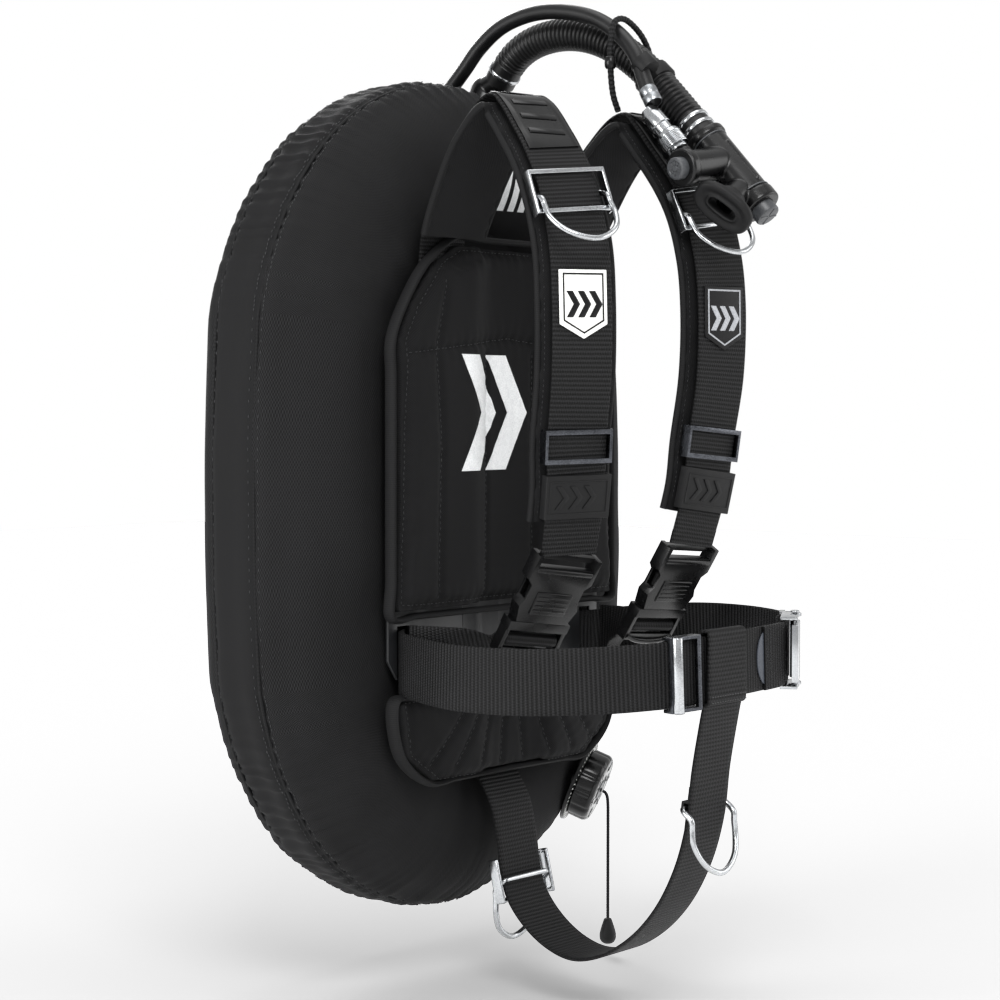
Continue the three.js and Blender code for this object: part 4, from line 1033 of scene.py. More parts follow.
# ---- the wing -----------------------------------------------------------------------
@dataclass
class Wing:
    """The inflated ring: two cloth faces, a gusset between piped seams, and the centre panel."""

    radius: float = 78.0
    offset: float = 148.0
    back: float = 59.0
    straight: float = 91.0
    end_rise: float = 180.0
    front_seam: float = 17.0
    rear_seam: float = -19.0
    chamber_radius: float = 72.0
    loop_m: float = 1.75

    def line(self, share: float) -> tuple[Vector, Vector]:
        """Returns the lobe line's place and outward heading, in millimetres."""
        angle = share * 2 * pi
        rise = sin(angle)
        lift = self.straight * max(-1.0, min(1.0, rise * 4))
        place = Vector((self.offset * cos(angle), self.back, self.end_rise * rise + lift))
        slope = 0.0 if abs(rise) < 0.25 else rise / self.end_rise
        return place, Vector((cos(angle) / self.offset, 0, slope)).normalized()

    def smooth_line(self, share: float) -> tuple[Vector, Vector]:
        """Returns the lobe line averaged over a short stretch, so its heading turns evenly."""
        place, out = Vector(), Vector()
        for step in (-0.02, -0.01, 0.0, 0.01, 0.02):
            near, way = self.line(share + step)
            out += way
            if step == 0.0:
                place = near
        return place, out.normalized()

    def corner(self, share: float) -> float:
        """Returns how strongly the lobe line bends: 0 on the straight sides, 1 at the ends."""
        rise = abs(sin(share * 2 * pi))
        return min(1.0, max(0.0, (rise - 0.2) / 0.35))

    def swell(self, share: float, degrees: float) -> float:
        """Returns the cloth's radius in millimetres at a share round and an angle of section."""
        turn = (degrees + 180) % 360 - 180
        size = self.radius - 0.6
        corner = self.corner(share)
        for seam in (self.front_seam, self.rear_seam):
            gap = (turn - seam) * pi / 180 * self.radius
            size -= 1.3 * exp(-(gap / 2.2) ** 2)
            size += 1.9 * exp(-((abs(gap) - 9) / 9) ** 2)
            reach = exp(-abs(gap) / (8 + 16 * corner))
            drift = noise.noise(Vector((share * 60, seam, 0))) * 5
            fold = sin(share * 2 * pi * 118 + drift)
            fine = sin(share * 2 * pi * 227 + 2 * drift)
            size += (0.35 + 1.25 * corner) * reach * (0.7 * fold + 0.3 * fine)
        middle = (turn - (self.front_seam + self.rear_seam) / 2) / 14
        size -= 1.2 * exp(-middle ** 2)
        place, out = self.line(share)
        spot = place + out * (cos(radians(degrees)) * self.radius)
        spot.y -= sin(radians(degrees)) * self.radius
        size += 1.5 * noise.noise(spot * 0.013)
        size += (0.5 + 0.9 * corner) * noise.noise(Vector((share * 46, turn * 0.018, 3.1)))
        return size

    def spot(self, centre: Vector, out: Vector, angle: float, size: float) -> Vector:
        """Returns the place in metres at an angle of section, in radians, and a radius."""
        return (centre + out * (size * cos(angle)) - Vector((0, size * sin(angle), 0))) * MM

    def build(self) -> None:
        """Makes the wing's pieces."""
        rows, columns = 640, 128
        lines = [self.smooth_line(row / rows) for row in range(rows)]

        def skin(around: float, run: float) -> Corner:
            """Puts one corner of the grid on the cloth."""
            row = round(run * rows) % rows
            centre, out = lines[row]
            degrees = around * 360 - 60
            size = self.swell(row / rows, degrees)
            return self.spot(centre, out, radians(degrees), size), (
                run * self.loop_m, around * 2 * pi * self.radius * MM)

        shape = wrapped(columns, rows, skin, join_rows=True)
        cloth = shape.loops.layers.uv.active
        band_low = (self.rear_seam + 60) / 360 * 2 * pi * self.radius * MM
        band_high = (self.front_seam + 60) / 360 * 2 * pi * self.radius * MM
        for face in shape.faces:
            middle = sum(loop[cloth].uv.y for loop in face.loops) / len(face.loops)
            face.material_index = 1 if band_low < middle < band_high else 0
        marks = [face.material_index for face in shape.faces]
        made = Piece("wing_cloth", WING_NYLON, replaces="wing_shell", sharp_deg=80).of(shape)
        made.data.materials.append(GUSSET_NYLON.material())
        made.data.polygons.foreach_set("material_index", marks)
        bars = [((x, 240), (x + 7, 240), (x + 15, 276), (x + 8, 276)) for x in range(-24, 37, 12)]
        Piece("upper_bars", SILVER_PRINT, slot="cordura").of(
            print_on(surface_tree(made), bars, 0.15, 0.3, 4.0))
        self.chamber()
        for name, seam in (("front", self.front_seam), ("rear", self.rear_seam)):
            self.piping(name, seam)
        dressed("wing_middle_panel", PANEL_NYLON, "wing_centre_panel", 0.5, 2, 40)

    def chamber(self) -> None:
        """Makes the smooth air chamber inside the cloth."""
        rows = 120

        def wall(around: float, run: float) -> Corner:
            """Puts one corner of the grid on the chamber."""
            centre, out = self.line(round(run * rows) % rows / rows)
            return self.spot(centre, out, around * 2 * pi, self.chamber_radius), (run, around)

        Piece("wing_air_chamber", HOSE_RUBBER, slot="bladder_film",
              replaces="air_bladder").of(wrapped(32, rows, wall, join_rows=True))

    def piping(self, name: str, seam: float) -> None:
        """Makes the piped cord in one seam, and the stitch row beside it."""
        rows = 420
        frames = [self.smooth_line(row / rows) for row in range(rows)]
        angle = radians(seam)

        def cord(around: float, run: float) -> Corner:
            """Puts one corner of the grid on the piping."""
            centre, out = frames[round(run * rows) % rows]
            radial = out * cos(angle) - Vector((0, sin(angle), 0))
            side = out * sin(angle) + Vector((0, cos(angle), 0))
            turn = around * 2 * pi
            spot = (centre + radial * (self.radius - 0.9 + 1.5 * cos(turn))
                    + side * (1.5 * sin(turn)))
            return spot * MM, (run * self.loop_m, around * 0.01)

        Piece(f"wing_{name}_piping", BINDING, slot="cordura", sharp_deg=80).of(
            wrapped(10, rows, cord, join_rows=True))
        spots = []
        count = 400
        for offset in ((4.2, -4.2) if name == "front" else (4.2,)):
            lean = angle + offset / self.radius
            for step in range(count):
                share = step / count
                centre, out = self.smooth_line(share)
                after, _ = self.smooth_line(share + 0.002)
                radial = out * cos(lean) - Vector((0, sin(lean), 0))
                size = self.swell(share, math.degrees(lean)) + 0.25
                spots.append(((centre + radial * size) * MM, (after - centre).normalized(),
                              radial))
        Piece(f"wing_{name}_stitches", THREAD, slot="cordura").of(stitches(spots, 2.8, 0.6))


# ---- plate and bolts ----------------------------------------------------------------
@dataclass
class Plate:
    """The bent steel plate and the two book screws that clamp the stack."""

    bolt_row: float = 139.7

    def build(self) -> None:
        """Makes the plate and its screws."""
        dressed("steel_plate", COATED_STEEL, "back_plate", 0.7, 3, 20)
        for row, word in ((1, "upper"), (-1, "lower")):
            seat = (Matrix.Translation(point((0, 0, row * self.bolt_row)))
                    @ Matrix.Rotation(pi / 2, 4, "X"))
            head = turned([(0, 5.8), (2.4, 5.8), (3.2, 7.1), (8.0, 7.8), (9.0, 7.2), (9.0, 5.9),
                           (8.6, 5.6), (2.6, 5.6), (2.6, -2.2), (0, -2.2)], 48)
            Piece(f"{word}_screw_head", BRUSHED,
                  replaces=f"{word}_book_screw").of(head, seat)
            nut = turned([(3.1, 1.0), (3.1, -2.4), (8.2, -2.5), (9.0, -1.9), (9.0, -0.6),
                          (8.6, -0.4), (4.0, -0.4), (4.0, 5.0), (3.1, 5.0), (3.1, 1.0)], 48)
            Piece(f"{word}_screw_nut", BRUSHED, replaces=f"{word}_book_nut").of(nut, seat)


# ---- pads ---------------------------------------------------------------------------
@dataclass
class SewnPad:
    """A foam pad in a cloth cover: swollen by simulation, pulled in along its seams."""

    node: str
    name: str
    corners: tuple[Pair, ...]
    channels: tuple[tuple[Pair, ...], ...]
    inset: float = 11.0
    voxel: float = 5.0
    cap_mm: float = 5.0
    pressure: float = 4.0

    def rim(self) -> list[Pair]:
        """Returns the outline drawn in by the seam allowance."""
        middle = (sum(x for x, _ in self.corners) / len(self.corners),
                  sum(z for _, z in self.corners) / len(self.corners))
        made = []
        for x, z in self.corners:
            way = Vector((x - middle[0], z - middle[1]))
            near = way * (1 - self.inset * 1.25 / way.length)
            made.append((middle[0] + near.x, middle[1] + near.y))
        return made + made[:1]

    def lines(self) -> list[list[Pair]]:
        """Returns every seam as a list of corners in X and Z."""
        return [self.rim(), *[list(line) for line in self.channels]]

    def build(self) -> Object:
        """Makes the pad and its stitches, and returns the pad."""
        start = placed(self.node + "_start", node_copy(self.node))
        swollen = self.swell(melting(start, self.voxel, 4))
        self.sew(swollen)
        made = Piece(self.name, PAD_NYLON, replaces=self.node, sharp_deg=80).of(swollen)
        self.stitch(made)
        return made

    def swell(self, holder: Object) -> Shape:
        """Blows the cover up a little with cloth pressure and caps how far it moves.

        Args:
            holder: the object to swell; it is removed.

        Returns:
            The swollen skin, subdivided once.
        """
        scene = bpy.context.scene
        graph = bpy.context.evaluated_depsgraph_get()
        rest = bmesh.new()
        rest.from_object(holder, graph)
        for vert in rest.verts:
            vert.co -= vert.normal * (1.6 * MM)
        holder.modifiers.clear()
        rest.to_mesh(holder.data)
        places = [vert.co.copy() for vert in rest.verts]
        rest.free()
        result = bmesh.new()
        cloth = holder.modifiers.new("cloth", "CLOTH")
        cloth.settings.use_pressure = True
        cloth.settings.uniform_pressure_force = self.pressure
        cloth.settings.effector_weights.gravity = 0.0
        cloth.settings.quality = 4
        cloth.settings.tension_stiffness = 12
        cloth.settings.compression_stiffness = 12
        cloth.settings.mass = 0.25
        scene.frame_start, scene.frame_end = 1, 20
        for frame in range(1, 21):
            scene.frame_set(frame)
        graph = bpy.context.evaluated_depsgraph_get()
        result.from_object(holder, graph)
        scene.frame_set(1)
        for vert, home in zip(result.verts, places):
            step = vert.co - home
            if step.length > self.cap_mm * MM:
                vert.co = home + step.normalized() * (self.cap_mm * MM)
        bpy.data.objects.remove(holder)
        bmesh.ops.subdivide_edges(result, edges=result.edges[:], cuts=1, use_grid_fill=True,
                                  smooth=0.6)
        bmesh.ops.smooth_vert(result, verts=result.verts[:], factor=0.5, use_axis_x=True,
                              use_axis_y=True, use_axis_z=True)
        return result

    def sew(self, shape: Shape) -> None:
        """Pulls the cover in along its seams, with small gathers beside them."""
        shape.normal_update()
        for vert in shape.verts:
            face = -vert.normal.y
            if face < 0.25:
                continue
            here = (vert.co.x / MM, vert.co.z / MM)
            gap, run = min((distance_to(line, here) for line in self.lines()),
                           key=lambda found: found[0])
            pull = 2.6 * exp(-(gap / 3.2) ** 2)
            gather = 0.55 * exp(-gap / 9) * sin(run * 0.62 + 2 * noise.noise(
                Vector((here[0] * 0.05, here[1] * 0.05, 1.0))))
            slack = 1.1 * noise.noise(Vector((here[0] * 0.018, here[1] * 0.018, 5.0)))
            vert.co.y += (pull * face + gather - slack) * MM

    def stitch(self, pad: Object) -> None:
        """Lays a row of stitches in every seam."""
        tree = surface_tree(pad)
        spots = []
        for line in self.lines():
            spots += rows_on(tree, line, 4.4, 0.5)
        Piece(f"{self.name}_stitches", THREAD).of(stitches(spots, 2.9, 0.6))


def distance_to(line: Sequence[Pair], here: Pair) -> Pair:
    """Measures from a place to a line of corners in the plane.

    Args:
        line: the corners.
        here: the place.

    Returns:
        The distance to the line, and how far along it the nearest place is.
    """
    best, best_run, run = 1e9, 0.0, 0.0
    for (ax, az), (bx, bz) in zip(line, line[1:]):
        dx, dz = bx - ax, bz - az
        long = hypot(dx, dz) or 1e-9
        share = min(1.0, max(0.0, ((here[0] - ax) * dx + (here[1] - az) * dz) / long ** 2))
        gap = hypot(here[0] - ax - share * dx, here[1] - az - share * dz)
        if gap < best:
            best, best_run = gap, run + share * long
        run += long
    return best, best_run


def surface_tree(piece: Object) -> BVHTree:
    """Returns a search tree over a piece's faces."""
    shape = bmesh.new()
    shape.from_mesh(piece.data)
    tree = BVHTree.FromBMesh(shape)
    shape.free()
    return tree


def rows_on(tree: BVHTree, line: Sequence[Pair], pitch_mm: float, lift_mm: float
            ) -> list[tuple[Vector, Vector, Vector]]:
    """Drops evenly spaced places on a surface from the front.

    Args:
        tree: the surface's search tree.
        line: corners in X and Z, in millimetres.
        pitch_mm: spacing.
        lift_mm: how far the places stand off.

    Returns:
        Place, run and outward direction of each.
    """
    spots = []
    for (ax, az), (bx, bz) in zip(line, line[1:]):
        long = hypot(bx - ax, bz - az)
        count = max(1, int(long / pitch_mm))
        for step in range(count):
            share = (step + 0.5) / count
            x, z = ax + (bx - ax) * share, az + (bz - az) * share
            hit, normal, _, _ = tree.ray_cast(Vector((x * MM, -0.2, z * MM)), Y_AXIS)
            if hit is None:
                continue
            run = Vector((bx - ax, 0, bz - az)).normalized()
            run = (run - normal * run.dot(normal)).normalized()
            spots.append((hit + normal * (lift_mm * MM), run, normal))
    return spots


def print_on(tree: BVHTree, shapes: Sequence[Sequence[Pair]], lift_mm: float, thick_mm: float,
             cell_mm: float) -> Shape:
    """Lays flat printed shapes on a surface from the front.

    Args:
        tree: the surface's search tree.
        shapes: outlines in the plane of X and Z, in millimetres.
        lift_mm: how far the print's underside stands off the cloth.
        thick_mm: the print's thickness.
        cell_mm: how finely the print follows the cloth.

    Returns:
        The bmesh.
    """
    whole = []
    for outline in shapes:
        flat = bmesh.new()
        flat.faces.new([flat.verts.new((x * MM, 0.0, z * MM)) for x, z in outline])
        for axis, across in ((0, X_AXIS), (1, Z_AXIS)):
            low, high = (pick(corner[axis] for corner in outline) for pick in (min, max))
            for step in range(1, int((high - low) / cell_mm) + 1):
                bmesh.ops.bisect_plane(flat, geom=flat.verts[:] + flat.edges[:] + flat.faces[:],
                                       dist=1e-7, plane_co=across * ((low + step * cell_mm) * MM),
                                       plane_no=across)
        for vert in flat.verts:
            hit, normal, _, _ = tree.ray_cast(vert.co - Y_AXIS * 0.15, Y_AXIS)
            if hit is None:
                hit, normal = vert.co, -Y_AXIS
            if normal.y > 0:
                normal = -normal
            vert.co = hit + normal * (lift_mm * MM)
        made = bmesh.ops.extrude_face_region(flat, geom=flat.faces[:], use_keep_orig=True)["geom"]
        for item in made:
            if isinstance(item, bmesh.types.BMVert):
                near = tree.find_nearest(item.co)
                push = near[1] if near[0] is not None and near[1].y < 0 else -Y_AXIS
                item.co = item.co + push * (thick_mm * MM)
        bmesh.ops.recalc_face_normals(flat, faces=flat.faces[:])
        whole.append(flat)
    return merged(whole)


class BackCushions:
    """The back pad, its upper cover panel and print, the bound edges, and the lumbar pad."""

    def build(self) -> None:
        """Makes the cushions."""
        corners = ((-142, -92), (142, -92), (142, 128), (126, 160), (100, 192), (66, 213),
                   (-66, 213), (-100, 192), (-126, 160), (-142, 128))
        channels = (((-96, -78), (-92, 40), (-98, 120), (-84, 178)),
                    ((96, -78), (92, 40), (98, 120), (84, 178)),
                    ((-128, 118), (0, 132), (128, 118)),
                    ((-30, -80), (-30, 120)), ((30, -80), (30, 120)))
        back = SewnPad("back_pad", "back_cushion", corners, channels).build()
        self.emblem(back)
        low_corners = ((-100, -226), (100, -226), (134, -200), (140, -156), (-140, -156),
                       (-134, -200))
        pleats = tuple(((x * 0.55, -160.0), (x, -218.0 + abs(x) * 0.06))
                       for x in (-104, -74, -44, -14, 16, 46, 76, 106))
        SewnPad("lumbar_pad", "lumbar_cushion", low_corners, pleats, inset=8.0).build()
        self.binding("back", corners, -25.0, -41.4)
        self.binding("lumbar", low_corners, -25.0, -43.4)

    def emblem(self, back: Object) -> None:
        """Prints a plain pair of chevrons."""
        marks = [((x, 24), (x + 25, 24), (x + 52, 71), (x + 25, 118), (x, 118), (x + 27, 71))
                 for x in (-70, -30)]
        Piece("back_mark", SILVER_PRINT).of(
            print_on(surface_tree(back), marks, 0.15, 0.35, 3.0))

    def binding(self, word: str, corners: Sequence[Pair], back: float, front: float) -> None:
        """Runs a folded edge tape round a cushion's outline."""
        middle = Vector((sum(x for x, _ in corners), 0, sum(z for _, z in corners))) / len(corners)
        spots = []
        for (ax, az), (bx, bz) in zip(corners, (*corners[1:], corners[0])):
            long = hypot(bx - ax, bz - az)
            for step in range(max(1, int(long / 26))):
                share = step / max(1, int(long / 26))
                spot = Vector((ax + (bx - ax) * share, (back + front) / 2, az + (bz - az) * share))
                spots.append((spot + (middle - spot).normalized() * 1.5) * MM)
        curve = Curve(spots, closed=True)
        half = abs(front - back) / 2 - 2.2

        def radius(run: float, angle: float) -> float:
            """Returns the tape's outline: tall through the cushion's edge, thin across it."""
            return MM / math.sqrt((cos(angle) / half) ** 2 + (sin(angle) / 2.6) ** 2)

        shape = tube(curve, radius, 420, 20, Y_AXIS)
        Piece(f"{word}_cushion_binding", BINDING, sharp_deg=80).of(shape)


# ---- shoulder straps ----------------------------------------------------------------
SIDES = (("right", -1), ("left", 1))
SHOULDER_POINTS: tuple[Triple, ...] = (
    (76, -18.8, 118), (76, -18.8, 157), (76, -22.9, 166), (76, -26.6, 174.5), (76, -30, 208),
    (78, -50, 250), (80, -78, 291), (82, -112, 315), (85, -142, 286), (90, -168, 244),
    (92, -181, 200), (93, -185, 157), (92, -184, 100), (89, -177, 46), (86, -174, 10),
    (81, -163, -38))
SHOULDER_TURN = {
    "right": (0, 0, 0, 0, -2, -8, -14, -19, -22, -24, -25, -25, -25, -24, -22, -18),
    "left": (0, 0, 0, 0, -2, -6, -10, -12, -14, -15, -15, -15, -14, -12, -10, -8)}


def heading(degrees: float) -> Vector:
    """Returns a level direction turned from X."""
    return Vector((cos(radians(degrees)), sin(radians(degrees)), 0))


def shoulder_route(name: str, side: int) -> StrapRoute:
    """Returns a shoulder strap's route."""
    return StrapRoute([point((side * x, y, z)) for x, y, z in SHOULDER_POINTS],
                      [heading(turn) for turn in SHOULDER_TURN[name]])


def ring_shape(wire: float = 4.4) -> Shape:
    """Makes a D-ring whose straight bar lies behind the webbing, bent outwards."""
    half = 25.4 + 0.9 + wire / 2
    bar = -(1.25 + 0.9 + wire / 2)
    rest = 1.25 + 0.4 + 3 + 0.4 + wire / 2
    side = [(half - 9, bar, 0), (half - 2, bar + 0.4, 0.4), (half, bar + 3.4, 2),
            (half, rest - 1, 7), (half, rest + 0.5, 14), (half, rest + 3, 24),
            (half - 6, rest + 8.5, 37), (half - 17, rest + 12, 45)]
    spots = [*side, (0, rest + 13.5, 48), *[(-x, y, z) for x, y, z in reversed(side)], (0, bar, 0)]
    curve = Curve([point(spot) for spot in spots], closed=True)
    return tube(curve, lambda run, angle: wire / 2 * MM, 180, 18, Vector((0, 0.9, -0.45)))


@dataclass
class Shoulder:
    """One shoulder strap: webbing, padded sleeve, D-ring, slides, keeper and label."""

    name: str
    side: int
    web_half: float = 25.4
    web_thick: float = 2.5
    pad_half: float = 33.0
    pad_lift: float = -10.95

    def build(self) -> None:
        """Makes the strap's pieces."""
        self.route = shoulder_route(self.name, self.side)
        self.webbing()
        self.pad()
        self.hardware()
        self.label()
        self.patch()

    def share(self, height: float) -> float:
        """Returns the share of the front run at a height."""
        return self.route.near(2, height, 0.45, 1.0)

    def webbing(self) -> None:
        """Makes the webbing."""
        section = flat_section(self.web_half, self.web_thick / 2, 12)
        Piece(f"{self.name}_strap_webbing", WEBBING,
              replaces=f"{self.name}_shoulder_webbing").of(band(self.route, 0, 1, section, 200))

    def pad(self) -> None:
        """Makes the padded sleeve, its binding and its stitches."""
        start = self.route.near(2, 216, 0.0, 0.4)
        stop = self.share(-14)
        section = flat_section(self.pad_half, 1.9, 14, 5, crown=3.1)

        def widen(share: float) -> float:
            """Returns the pad's extra width towards the plate."""
            return 1 + 16 * max(0.0, 0.36 - share) / (2 * self.pad_half)

        def ripple(share: float, across: float) -> float:
            """Returns small gathers and slack in the cover."""
            near = exp(-(self.pad_half - abs(across)) / 7)
            fold = sin(share * self.route.length / MM * 0.42 + across * 0.05)
            soft = noise.noise(Vector((share * 34, across * 0.03, self.side)))
            return 0.5 * near * fold + 0.9 * soft

        shape = band(self.route, start, stop, section, 260, self.pad_lift, widen, ripple)
        made = Piece(f"{self.name}_strap_pad", PAD_NYLON,
                     replaces=f"{self.name}_shoulder_pad", sharp_deg=80).of(shape)
        tapes = []
        for end in (-1, 1):
            tape = [(end * (self.pad_half - 1.2) + 2.6 * cos(a), 3.1 * sin(a))
                    for a in (2 * pi * k / 12 for k in range(12))]
            tapes.append(band(self.route, start, stop, tape, 200, self.pad_lift, widen))
        Piece(f"{self.name}_pad_binding", BINDING, sharp_deg=80).of(merged(tapes))
        rows = stitch_rows(self.route, start + 0.01, stop - 0.01,
                           (-self.pad_half + 5.2, self.pad_half - 5.2),
                           self.pad_lift + 3.3)
        Piece(f"{self.name}_pad_stitches", THREAD).of(rows)

    def hardware(self) -> None:
        """Makes the ring, the slides and the keeper."""
        seat = self.route.seat(self.share(238))
        Piece(f"{self.name}_ring", POLISHED, body=f"{self.name}_ring",
              replaces=f"{self.name}_chest_ring").of(ring_shape(), seat)
        dressed(f"{self.name}_ring_frame", POLISHED, f"{self.name}_ring_slide", 0.9)
        dressed(f"{self.name}_adjuster", GUNMETAL, f"{self.name}_strap_slide", 0.7)
        dressed(f"{self.name}_keeper", RUBBER, f"{self.name}_strap_keeper", 0.8)
        seat = self.route.seat(self.share(7))
        top = 1.25 + 0.4 + 2.5
        marks = [plate_shape(((x, -9), (x + 7, 0), (x, 9), (x + 5, 9), (x + 12, 0), (x + 5, -9)),
                             top - 0.2, top + 0.9, 0.3) for x in (-20, -8, 4)]
        ring = [block((50, 0.9, 1.2), (0, top, z), 0.3, 2) for z in (-12.5, 12.5)]
        ring += [block((1.2, 0.9, 25), (x, top, 0), 0.3, 2) for x in (-25, 25)]
        Piece(f"{self.name}_keeper_marks", RUBBER).of(merged([*marks, *ring]), seat)

    def label(self) -> None:
        """Makes the five-sided rubber label with a plain mark and its stitches."""
        middle = 152 if self.side < 0 else 148
        seat = self.route.seat(self.share(middle))
        top = self.web_thick / 2
        half, tall = 20.0, 26.0
        border = ((-half, -tall), (half, -tall), (half, tall - 11), (0, tall), (-half, tall - 11))
        finish = WHITE_RUBBER if self.side < 0 else RUBBER
        Piece(f"{self.name}_label", finish).of(plate_shape(border, top, top + 1.4, 0.5, 3), seat)
        rings = [[(x * wide, z * high - 0.6) for x, z in border]
                 for wide, high in ((0.86, 0.88), (0.8, 0.83))]
        frame = bmesh.new()
        outer, inner = ([frame.verts.new((x * MM, (top + 1.3) * MM, z * MM)) for x, z in ring]
                        for ring in rings)
        for step in range(5):
            after = (step + 1) % 5
            frame.faces.new((outer[step], outer[after], inner[after], inner[step]))
        raised = bmesh.ops.extrude_face_region(frame, geom=frame.faces[:],
                                               use_keep_orig=True)["geom"]
        lift = [item for item in raised if isinstance(item, bmesh.types.BMVert)]
        bmesh.ops.translate(frame, vec=(0, 0.45 * MM, 0), verts=lift)
        bmesh.ops.recalc_face_normals(frame, faces=frame.faces[:])
        marks = [plate_shape(((x, -10), (x + 5.5, -10), (x + 11.5, 0), (x + 5.5, 10), (x, 10),
                              (x + 6, 0)), top + 1.3, top + 1.8, 0.2) for x in (-14.5, -5, 4.5)]
        ink = PATCH_RUBBER if self.side < 0 else PALE_THREAD
        Piece(f"{self.name}_label_mark", ink).of(merged([frame, *marks]), seat)

    def patch(self) -> None:
        """Makes the glossy rubber patch over the shoulder, with raised slanted bars."""
        start, stop = self.route.near(2, 300, 0.2, 0.5), self.share(272)
        shape = band(self.route, start, stop, flat_section(22.5, 0.7, 10, 3), 60,
                     self.web_thick / 2 + 0.6)
        bars = []
        for step in range(5):
            share = start + (stop - start) * (step + 0.9) / 6
            seat = self.route.seat(share, self.web_thick / 2 + 1.2)
            bars.append(moved(plate_shape(((-15, -4), (15, 1), (15, 6), (-15, 1)), 0, 0.9, 0.3),
                              seat))
        Piece(f"{self.name}_shoulder_patch", PATCH_RUBBER).of(shape)
        Piece(f"{self.name}_patch_bars", PATCH_RUBBER).of(merged(bars))


# ---- side-release buckles -----------------------------------------------------------
@dataclass
class SideBuckle:
    """One side-release buckle and the lower strap that runs from it to the belt."""

    name: str
    side: int
    half: float = 30.5
    thick: float = 12.0
    mouth: float = 60.4
    points: tuple[Triple, ...] = ((81, -163, -38), (80.5, -146, -66), (80, -124, -104))

    def build(self) -> None:
        """Makes the buckle's halves and the strap."""
        turn = SHOULDER_TURN[self.name][-1]
        route = StrapRoute([point((self.side * x, y, z)) for x, y, z in self.points],
                           [heading(turn)] * 3)
        self.seat = route.seat(0.0)
        self.socket()
        self.plug()
        self.strap()

    def socket(self) -> None:
        """Makes the socket with its raised back rib and grip ridges."""
        dressed(f"{self.name}_socket", MOULDED, f"{self.name}_buckle_socket", 1.3, 4)
        top = self.thick / 2
        parts = [block((34, 1.6, 20), (0, top + 0.3, 42), 1.2, 4)]
        parts += [block((30, 1.2, 1.4), (0, top + 1.2, z), 0.5, 3) for z in (36, 40, 44, 48)]
        parts.append(block((54, 3.0, 4.2), (0, top - 0.6, 13.2), 1.4, 4))
        Piece(f"{self.name}_socket_ridges", MOULDED).of(merged(parts), self.seat)

    def plug(self) -> None:
        """Makes the plug with its curved lip."""
        dressed(f"{self.name}_plug", MOULDED, f"{self.name}_buckle_plug", 1.1,
                4, body=f"{self.name}_plug")
        spots = [(-27, 4.2, self.mouth + 27), (-16, 5.4, self.mouth + 30.4),
                 (0, 5.9, self.mouth + 31.6), (16, 5.4, self.mouth + 30.4),
                 (27, 4.2, self.mouth + 27)]
        curve = Curve(point(spot) for spot in spots)
        lip = tube(curve, lambda run, angle: 2.3 * MM, 48, 16, Y_AXIS)
        Piece(f"{self.name}_plug_lip", MOULDED, body=f"{self.name}_plug").of(lip, self.seat)

    def strap(self) -> None:
        """Makes the lower strap, with its loop round the plug's bar."""
        start = self.mouth + 19
        end = self.seat @ point((0, -4.45, start))
        spots = [point((self.side * x, y, z)) for x, y, z in (
            (123.5, -38, -121), (121, -50, -121), (112, -68, -120), (100, -86, -117),
            (89, -102, -114))]
        across = self.seat.to_3x3() @ X_AXIS
        upright = Vector((0, 0, self.side))
        widths = [upright.lerp(across, lean) for lean in (0, 0.05, 0.3, 0.6, 0.9, 1)]
        route = StrapRoute([*spots, end], widths)
        section = flat_section(24.6, 1.25, 10)
        ribbon = band(route, 0, 1, section, 70)
        loop = bar_loop(self.seat, (0, self.mouth + 18), 4.45, pi, across, section)
        made = Piece(f"{self.name}_lower_webbing", WEBBING, body="",
                     replaces=f"{self.name}_lower_strap").of(merged([ribbon, loop]))
        tuple(spots[0])
        tuple(self.seat @ point((0, 0, start - 6)))
        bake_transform(made)


# ---- waist belt ---------------------------------------------------------------------
BELT_POINTS: tuple[Triple, ...] = (
    (-90, -19.2, -127), (-109, -19.2, -127), (-117, -22.9, -127), (-125, -28, -127.5),
    (-138, -58, -129), (-148, -108, -131), (-137, -164, -131), (-105, -211, -129),
    (-72, -237, -127), (-45, -247, -126), (0, -250, -124), (45, -252, -122.5),
    (80, -252, -121), (96, -246.1, -120.5), (110, -238, -120), (124, -229.9, -119.5),
    (139, -212, -118.5), (150, -172, -117), (154, -115, -118), (140, -60, -123),
    (125, -28, -127), (117, -22.9, -127), (109, -19.2, -127), (90, -19.2, -127))


